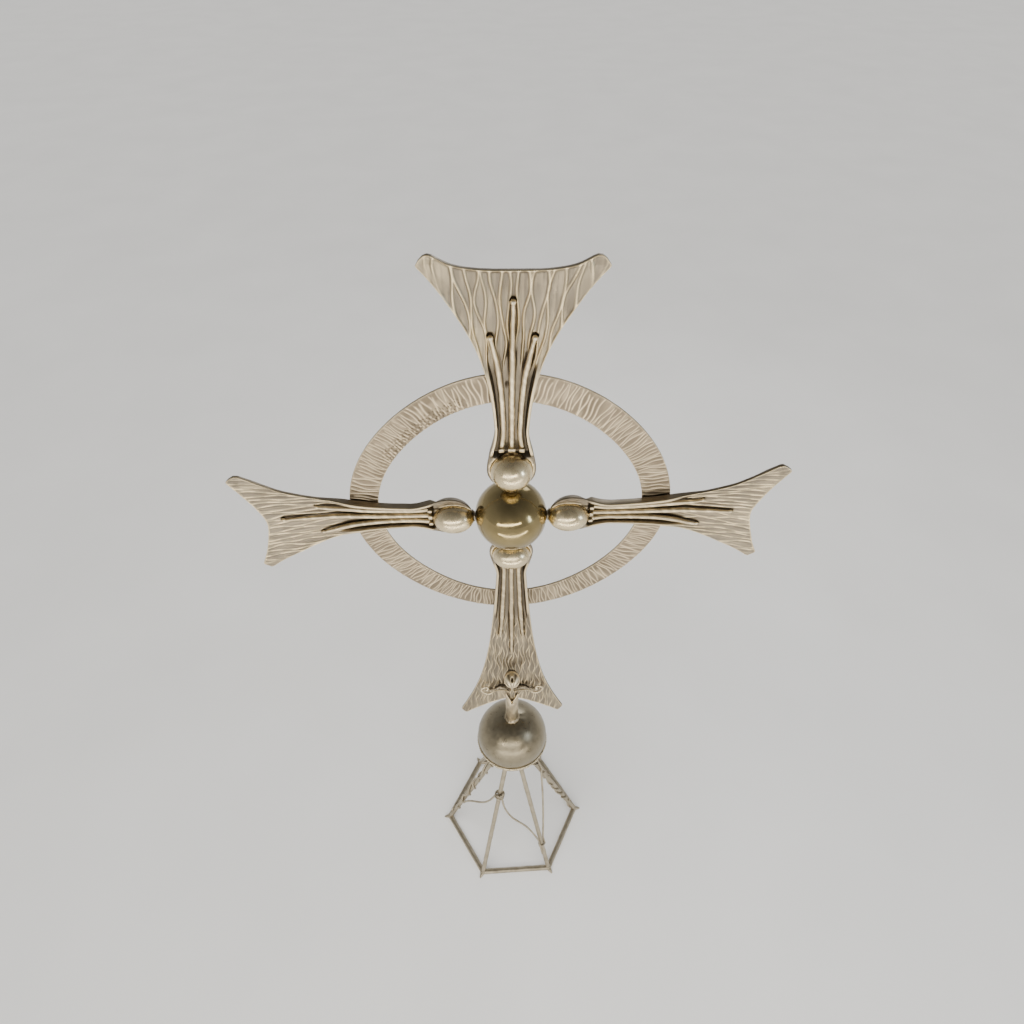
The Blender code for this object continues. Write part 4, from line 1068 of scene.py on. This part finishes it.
def build_bud():
    """Bud with ribs that fan out from its neck, round a small hollow heart, with painted shade in the
    heart and the grooves and on the bud's back.
    """
    arm = ARMS["bottom"]
    steps, sides = 60, 140
    polar = np.linspace(0, np.pi, steps + 1)[1:-1, None]
    angle = np.linspace(0, 2 * np.pi, sides, endpoint=False)[None, :]
    outer = np.sin(polar)
    p, q = outer * np.cos(angle), outer * np.sin(angle)
    fan = np.arctan2(p, q + 1.15)
    rib = 0.5 + 0.5 * np.cos(fan * 13.0)
    face = (polar < np.pi / 2) * 1.0
    away = np.hypot(p / 0.13, (q - 0.12) / 0.27)
    heart = np.exp(-away ** 4) * face
    lip = np.exp(-((away - 1.7) / 0.40) ** 2) * face
    outline = smooth(0.84, 0.93, outer) * face
    groove = (1 - rib) ** 2.4 * (1 - outline) * (1 - lip) * face
    radius = BUD_RADIUS * outer
    high = BUD_RADIUS * 0.80
    relief = 0.0014 * lip + 0.0010 * outline - 0.0022 * groove - BUD_HEART_DEPTH * heart
    rise = high * np.cos(polar) + relief
    # the bud's face looks forward and up
    u = radius * np.cos(angle)
    v = radius * np.sin(angle) * 1.08
    lean = math.radians(BUD_LEAN)
    y = BUD_Y - (rise * math.cos(lean) - v * math.sin(lean))
    s = BUD_S - (v * math.cos(lean) + rise * math.sin(lean))
    grid = to_world(arm, u, y, s)
    tops = []
    for value in (high - BUD_HEART_DEPTH, -high):
        tops.append(to_world(arm, np.array(0.0), np.array(BUD_Y - value * math.cos(lean)),
                             np.array(BUD_S - value * math.sin(lean))))
    points = np.concatenate([grid.reshape(-1, 3), np.array(tops)])
    index = numbers(*grid.shape[:2])
    faces = grid_faces(index, closed=True).tolist()
    n = index.size
    faces += fan_faces(n, index[0]) + fan_faces(n + 1, index[-1], down=True)
    mesh = mesh_of("bud", points, faces)
    bright = 0.25 + 0.60 * rib * face + 0.6 * lip + 0.6 * outline
    shade = np.clip(0.62 * groove + 0.92 * heart + 0.30 * (1 - face), 0, 1) * (1 - 0.8 * outline)
    bright = np.clip(bright, 0, 1) * (1 - shade)
    paint(mesh, np.concatenate([bright.ravel(), [0, 0]]), np.concatenate([shade.ravel(), [1, 1]]))
    route = [(BUD_S + 0.012, BUD_Y + 0.004, 0.0105), (BUD_S + 0.036, 0.0, 0.0092),
             (BUD_S + 0.062, 0.0, 0.0076), (BUD_S + 0.090, 0.0, 0.0066), (BUD_NECK_S, 0.0, 0.0040)]
    stops = []
    for s0, y0, wide in route:
        rest = float(plate_front(s0, 0.0)) - wide - CLEARANCE
        stops.append((s0, y0 if y0 else rest, wide))
    stops = spline(stops, 8)
    neck = tube_mesh("neck", to_world(arm, 0 * stops[:, 0], stops[:, 1], stops[:, 0]), stops[:, 2], 24,
                     lump=0.0004, seed=3.0)
    paint(neck, 0.45, 0.0)
    bud = make_object("rosette_bud", mesh, "stem_bronze", 50)
    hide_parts("bud")
    make_object("rosette_neck", neck, "stem_bronze", 50)


def build_scroll(label, side):
    """Leaf that stands off the plate and runs out into a tendril with a curled end."""
    arm = ARMS["bottom"]
    # u, s, half width, half thickness, lean in degrees, height above the plate
    route = [(0.012, 0.938, 0.0050, 0.0022, 15, 0.0010), (0.022, 0.920, 0.0090, 0.0024, 28, 0.0050),
             (0.036, 0.908, 0.0125, 0.0024, 36, 0.0095), (0.052, 0.906, 0.0115, 0.0024, 34, 0.0110),
             (0.067, 0.916, 0.0080, 0.0026, 25, 0.0080), (0.080, 0.930, 0.0042, 0.0036, 8, 0.0045),
             (0.096, 0.932, 0.0036, 0.0036, 0, 0.0040), (0.110, 0.918, 0.0034, 0.0034, 0, 0.0050),
             (0.116, 0.902, 0.0034, 0.0034, 0, 0.0060), (0.110, 0.886, 0.0034, 0.0034, 0, 0.0070),
             (0.098, 0.882, 0.0034, 0.0034, 0, 0.0080), (0.091, 0.891, 0.0036, 0.0036, 0, 0.0085),
             (0.095, 0.899, 0.0042, 0.0042, 0, 0.0090)]
    path = spline(route, 8)
    path[:, 1] += SCROLL_DROP
    sides = 18
    angles = np.linspace(0, 2 * np.pi, sides, endpoint=False)
    flat = path[:, :2]
    along = np.gradient(flat, axis=0)
    along /= np.linalg.norm(along, axis=1)[:, None]
    rings = []
    crest = []
    for (u, s, wide, thick, lean, off), (du, ds) in zip(path, along):
        across = np.array([-ds, 0.0, du])
        tilt = math.radians(lean)
        wide_way = across * math.cos(tilt) + np.array([0.0, 1.0, 0.0]) * math.sin(tilt)
        thick_way = np.cross(np.array([du, 0.0, ds]), wide_way)
        y = float(plate_front(np.array(s), np.array(u))) - off - thick - CLEARANCE
        centre = np.array([u, y, s])
        ring = (centre + np.outer(np.cos(angles) * wide, wide_way)
                + np.outer(np.sin(angles) * thick, thick_way))
        rings.append(to_world(arm, side * ring[:, 0], ring[:, 1], ring[:, 2]))
        leaf = min(max((wide - 0.0045) / 0.006, 0.0), 1.0)
        crest.append(mix(0.80, 0.15 + 0.80 * (np.abs(np.cos(angles)) > 0.80), leaf))
    mesh = skin_mesh("scroll", np.array(rings))
    paint(mesh, np.array([np.broadcast_to(row, sides) for row in crest]), 0.0)
    obj = make_object("curled_scroll_" + label, mesh, "stem_bronze", 60)
    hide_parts("scroll_" + label)


# Stand

def leg_angle(index):
    return math.radians(180 + STAND_TURN + index * 60)


def leg_frame(index):
    angle = leg_angle(index)
    out = np.array([math.cos(angle), math.sin(angle), 0.0])
    start = np.array([0.0, 0.0, STAND_HEIGHT - LEG_APEX_DROP])
    knee = out * FOOT_CIRCLE + np.array([0.0, 0.0, BAR_RADIUS - FOOT_FLAT])
    way = (knee - start) / np.linalg.norm(knee - start)
    side = np.array([-math.sin(angle), math.cos(angle), 0.0])
    normal = np.cross(side, way)
    normal /= np.linalg.norm(normal)
    if normal @ out < 0:
        normal = -normal
    return start, way, normal, side


def leg_start(index):
    way = leg_frame(index)[1]
    reach = LOWER_BALL_RADIUS + CLEARANCE + BALL_CUP_WALL + 0.0012
    return math.sqrt(reach ** 2 - LEG_APEX_DROP ** 2 * (1 - way[2] ** 2)) + LEG_APEX_DROP * way[2]


def flatten_low(mesh):
    """Lifts what is below the floor up to it."""
    co = points_of(mesh)
    co[:, 2] = np.maximum(co[:, 2], 0.0)
    move_points(mesh, co)


def build_leg(index):
    start, way = leg_frame(index)[:2]
    angle = leg_angle(index)
    out = np.array([math.cos(angle), math.sin(angle), 0.0])
    knee = out * FOOT_CIRCLE + np.array([0.0, 0.0, LEG_RADIUS - FOOT_FLAT])
    first = start + way * (leg_start(index) - 0.002)
    near = knee - way * KNEE_RADIUS * 2.5
    run = [first + (near - first) * t for t in np.linspace(0, 1, 70)]
    radii = [LEG_RADIUS] * 70
    a, b = knee - way * KNEE_RADIUS, knee + out * KNEE_RADIUS
    for t in np.linspace(0, 1, 9):
        run.append(a * (1 - t) ** 2 + knee * 2 * t * (1 - t) + b * t ** 2)
        radii.append(LEG_RADIUS * (1 - 0.12 * t))
    tip = knee + out * FOOT_LENGTH
    tip[2] = 0.0031
    for t in np.linspace(0.15, 1, 8):
        run.append(b + (tip - b) * t)
        radii.append(mix(LEG_RADIUS * 0.88, 0.003, t ** 1.2))
    mesh = tube_mesh("leg", run, radii, 20, lump=0.00045, seed=float(index))
    flatten_low(mesh)
    leg = make_object("rough_leg_%d" % (index + 1), mesh, "stand_metal", 60)
    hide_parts("leg_%d" % (index + 1))


def build_bar(index):
    following = (index + 1) % 6
    ends = []
    for i in (index, following):
        angle = leg_angle(i)
        ends.append(np.array([FOOT_CIRCLE * math.cos(angle), FOOT_CIRCLE * math.sin(angle),
                              BAR_RADIUS - FOOT_FLAT]))
    way = (ends[1] - ends[0]) / np.linalg.norm(ends[1] - ends[0])
    inset = way * (LEG_RADIUS * 0.6)
    run = [ends[0] + inset + (ends[1] - ends[0] - 2 * inset) * t for t in np.linspace(0, 1, 60)]
    mesh = tube_mesh("bar", run, BAR_RADIUS, 22, lump=0.00045, seed=20.0 + index)
    flatten_low(mesh)
    bar = make_object("rough_bar_%d" % (index + 1), mesh, "stand_metal", 60)
    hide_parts("bar_%d" % (index + 1))


# Wires, their ties and the weld beads of the stand

def beside_leg(index, distance, round_degrees, reach=0.0):
    """Centre of a wire against a leg, round its axis from the outer side."""
    start, way, normal, side = leg_frame(index)
    turn = math.radians(round_degrees)
    out = LEG_RADIUS + WIRE_RADIUS + 0.0006 + reach
    return start + way * distance + (normal * math.cos(turn) + side * math.sin(turn)) * out


def run_down(index, first, last, middle_turn, swing, waves, steps):
    """Points of a wire that weaves from side to side along a leg."""
    points = []
    for t in np.linspace(0, 1, steps + 1):
        turn = middle_turn + swing * math.sin(2 * math.pi * waves * t)
        points.append(beside_leg(index, mix(first, last, t), turn))
    return points


def span(start, end, bow, peak, twist, steps):
    """Points between start and end, pushed aside by bow and bent up and down by twist."""
    points = []
    for i in range(1, steps):
        t = i / steps
        push = np.array(bow) * math.sin(math.pi * t ** (math.log(0.5) / math.log(peak)))
        wave = np.array([0.0, 0.0, twist]) * math.sin(2 * math.pi * t)
        points.append(start + (end - start) * t + push + wave)
    return points


def wire_route():
    top = leg_start(0) + 0.012
    route = run_down(0, top, 0.640, 0, 50, 2.5, 22)
    route += [beside_leg(0, 0.658, 35, 0.002), beside_leg(0, 0.676, 75, 0.002)]
    arrive = [beside_leg(1, 0.360, -60, 0.002), beside_leg(1, 0.352, -20, 0.002),
              beside_leg(1, 0.352, 20, 0.002), beside_leg(1, 0.360, 60, 0.002)]
    route += span(route[-1], arrive[0], (0.005, -0.014, -0.010), 0.6, 0.012, 6) + arrive
    land = beside_leg(2, 0.672, -60, 0.002)
    route += span(route[-1], land, (-0.012, -0.008, -0.004), 0.3, -0.034, 8) + [land]
    return route + [beside_leg(2, 0.702, -60), beside_leg(2, 0.772, -60)]


def drop_route():
    top = leg_start(3) + 0.012
    route = run_down(3, top, 0.314, 0, 40, 0.5, 4)
    route += [beside_leg(3, 0.344, -35, 0.002), beside_leg(3, 0.364, -75, 0.002)]
    land = beside_leg(2, 0.662, 75, 0.002)
    route += span(route[-1], land, (0.004, 0.0, 0.0), 0.5, 0.004, 5) + [land]
    return route + [beside_leg(2, 0.692, 75), beside_leg(2, 0.722, 75)]


def build_wires():
    for name, route in (("wire", wire_route()), ("drop_wire", drop_route())):
        path = spline(route, 7)
        mesh = tube_mesh("bent_" + name, path, WIRE_RADIUS, 14, lump=0.00018, seed=6.0)
        obj = make_object("bent_" + name, mesh, "stand_metal")
        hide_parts(name)


def coil(index, middle, length, turns, wide, first=0.0, reach=0.0):
    """Wire wound round a leg."""
    route = []
    for t in np.linspace(0, 1, int(14 * turns) + 2):
        route.append(beside_leg(index, middle + length * (t - 0.5), first + 360 * turns * t,
                                wide - WIRE_RADIUS + reach))
    return spline(route, 3)


def build_ties():
    """Wire wound along two legs, the clip on the front leg and loose wire ends under the ball."""
    paths = []
    for k, middle in enumerate((0.300, 0.395, 0.490, 0.585, 0.700, 0.790)):
        paths.append((coil(0, middle, 0.085, 0.9, TIE_RADIUS, 60 + 70 * k), TIE_RADIUS))
    for k, middle in enumerate((0.300, 0.420, 0.500, 0.580, 0.660, 0.740, 0.810)):
        paths.append((coil(3, middle, 0.080, 0.8, TIE_RADIUS, 200 + 80 * k), TIE_RADIUS))
    paths.append((coil(1, 0.357, 0.024, 2.2, TIE_RADIUS, 30, 0.0050), TIE_RADIUS))
    paths.append((coil(2, 0.715, 0.018, 1.6, 0.0030, 90), 0.0030))
    for index in (0, 3):
        top = leg_start(index)
        for k in range(4):
            start = beside_leg(index, top + 0.045 + 0.012 * k, 300 + 55 * k, 0.001)
            route = [start, beside_leg(index, top + 0.020, 320 + 50 * k, 0.004)]
            for j in range(3):
                turn = 290 + 60 * k + 40 * (lottery(k * 3 + j, 5.0 + index) - 0.5)
                route.append(beside_leg(index, top + 0.004 - 0.010 * j, turn,
                                        0.006 + 0.012 * float(lottery(k * 5 + j, 8.0 + index))))
            paths.append((spline(route, 6), STRAND_RADIUS))
    stub = [beside_leg(1, 0.366, 60, 0.001), beside_leg(1, 0.350, 62, 0.002),
            beside_leg(1, 0.334, 66, 0.004)]
    paths.append((spline(stub, 5), 0.0042))
    for k, (path, wide) in enumerate(paths):
        mesh = tube_mesh("tie_%d" % k, path, wide, 10, lump=0.0002, seed=float(k))
        make_object("tie_%d" % k, mesh, "stand_metal")


def build_weld_beads():
    for index in range(6):
        angle = leg_angle(index)
        mesh = lathe_mesh("bead", ball_points(BEAD_RADIUS, steps=16), 28)
        co = points_of(mesh)
        uneven = grain(co[:, 0] / 0.006 + 30, co[:, 1] / 0.006 + co[:, 2] / 0.007 + 40, float(index))
        size = 1 + 0.10 * uneven
        co = co * size[:, None] * np.array([1.0, 1.0, 0.85])
        co += np.array([FOOT_CIRCLE * math.cos(angle), FOOT_CIRCLE * math.sin(angle), BAR_RADIUS])
        move_points(mesh, co)
        flatten_low(mesh)
        make_object("weld_bead_%d" % (index + 1), mesh, "stand_metal")


for label, arm in ARMS.items():
    build_arm(label, arm)
    build_rods(label, arm)
    build_egg(label, arm)
build_ring()
build_balls()
build_stem()
build_bud()
build_scroll("left", 1)
build_scroll("right", -1)
for i in range(6):
    build_leg(i)
    build_bar(i)
build_wires()
build_ties()
build_weld_beads()


# Floor, lights and camera

def build_floor():
    material, nodes, links = nodes_of("pale_floor")
    shader = nodes["Principled BSDF"]
    shader.inputs["Roughness"].default_value = 0.75
    place = nodes.new("ShaderNodeTexCoord").outputs["Object"]
    cloud = noise_node(nodes, links, place, 1.2, 3.0)
    links.new(ramp_node(nodes, links, cloud, [(0.3, (0.79, 0.785, 0.77)), (0.7, (0.83, 0.825, 0.81))]),
              shader.inputs["Base Color"])
    bm = bmesh.new()
    bmesh.ops.create_circle(bm, cap_ends=True, segments=96, radius=40.0)
    mesh = bpy.data.meshes.new("floor")
    bm.to_mesh(mesh)
    bm.free()
    mesh.materials.append(material)
    floor = add_object("floor", mesh)
    floor.location.z = -0.0006


def area_light(name, location, target, wide, tall, power, colour, tilt=0.0):
    data = bpy.data.lights.new(name, "AREA")
    data.shape = "RECTANGLE"
    data.size = wide
    data.size_y = tall
    data.energy = power
    data.color = colour
    obj = add_object(name, data)
    obj.location = location
    way = Vector(target) - Vector(location)
    turn = way.to_track_quat("-Z", "Y") @ Quaternion((0.0, 0.0, 1.0), math.radians(tilt))
    obj.rotation_euler = turn.to_euler()


def build_lights():
    world = bpy.data.worlds.new("studio")
    bpy.context.scene.world = world
    world.use_nodes = True
    back = world.node_tree.nodes["Background"]
    back.inputs["Color"].default_value = (0.92, 0.915, 0.90, 1.0)
    nodes, links = world.node_tree.nodes, world.node_tree.links
    apart = nodes.new("ShaderNodeSeparateXYZ")
    links.new(nodes.new("ShaderNodeTexCoord").outputs["Generated"], apart.inputs["Vector"])
    strength = scale_node(nodes, links, apart.outputs["Z"], SKY_LOW, SKY_HIGH, 0.0, 0.95)
    links.new(strength, back.inputs["Strength"])
    centre = (0.0, 0.0, 2.1)
    data = bpy.data.lights.new("wide_lamp", "SUN")
    data.energy = 2.6
    data.angle = math.radians(50)
    data.color = (1.0, 0.985, 0.96)
    wide_lamp = add_object("wide_lamp", data)
    wide_lamp.rotation_euler = (math.radians(14), math.radians(-10), 0.0)
    wide_lamp.visible_glossy = False
    area_light("front_strip", (-0.5, -4.0, 2.9), centre, 6.0, 0.40, 90, (1.0, 0.95, 0.85), 7)
    area_light("low_strip", (0.2, -2.5, 0.75), centre, 4.6, 0.24, 34, (1.0, 0.95, 0.85), 4)
    area_light("window", (2.9, -1.7, 2.75), centre, 0.35, 0.9, 16, (0.72, 0.84, 1.0))
    area_light("back", (1.5, 4.0, 3.8), centre, 2.5, 1.5, 40, (0.95, 0.97, 1.0))


def build_camera():
    data = bpy.data.cameras.new("camera")
    data.sensor_fit = "HORIZONTAL"
    data.sensor_width = SENSOR_WIDTH
    data.lens = CAMERA_FOCUS * SENSOR_WIDTH / IMAGE_SIZE
    data.shift_x, data.shift_y = (shift / IMAGE_SIZE for shift in CAMERA_SHIFT)
    data.clip_start = 0.05
    data.clip_end = 200.0
    camera = add_object("camera", data)
    down, turn, roll = (math.radians(angle) for angle in (CAMERA_DOWN, CAMERA_TURN, CAMERA_ROLL))
    level = Vector((math.sin(turn), math.cos(turn), 0.0))
    forward = level * math.cos(down) + Vector((0.0, 0.0, -math.sin(down)))
    right = Vector((math.cos(turn), -math.sin(turn), 0.0))
    up = right.cross(forward)
    right_rolled = right * math.cos(roll) + up * math.sin(roll)
    up_rolled = up * math.cos(roll) - right * math.sin(roll)
    turned = Matrix((right_rolled, up_rolled, -forward)).transposed()
    camera.matrix_world = Matrix.Translation(CAMERA_PLACE) @ turned.to_4x4()
    bpy.context.scene.camera = camera


build_floor()
build_lights()
build_camera()
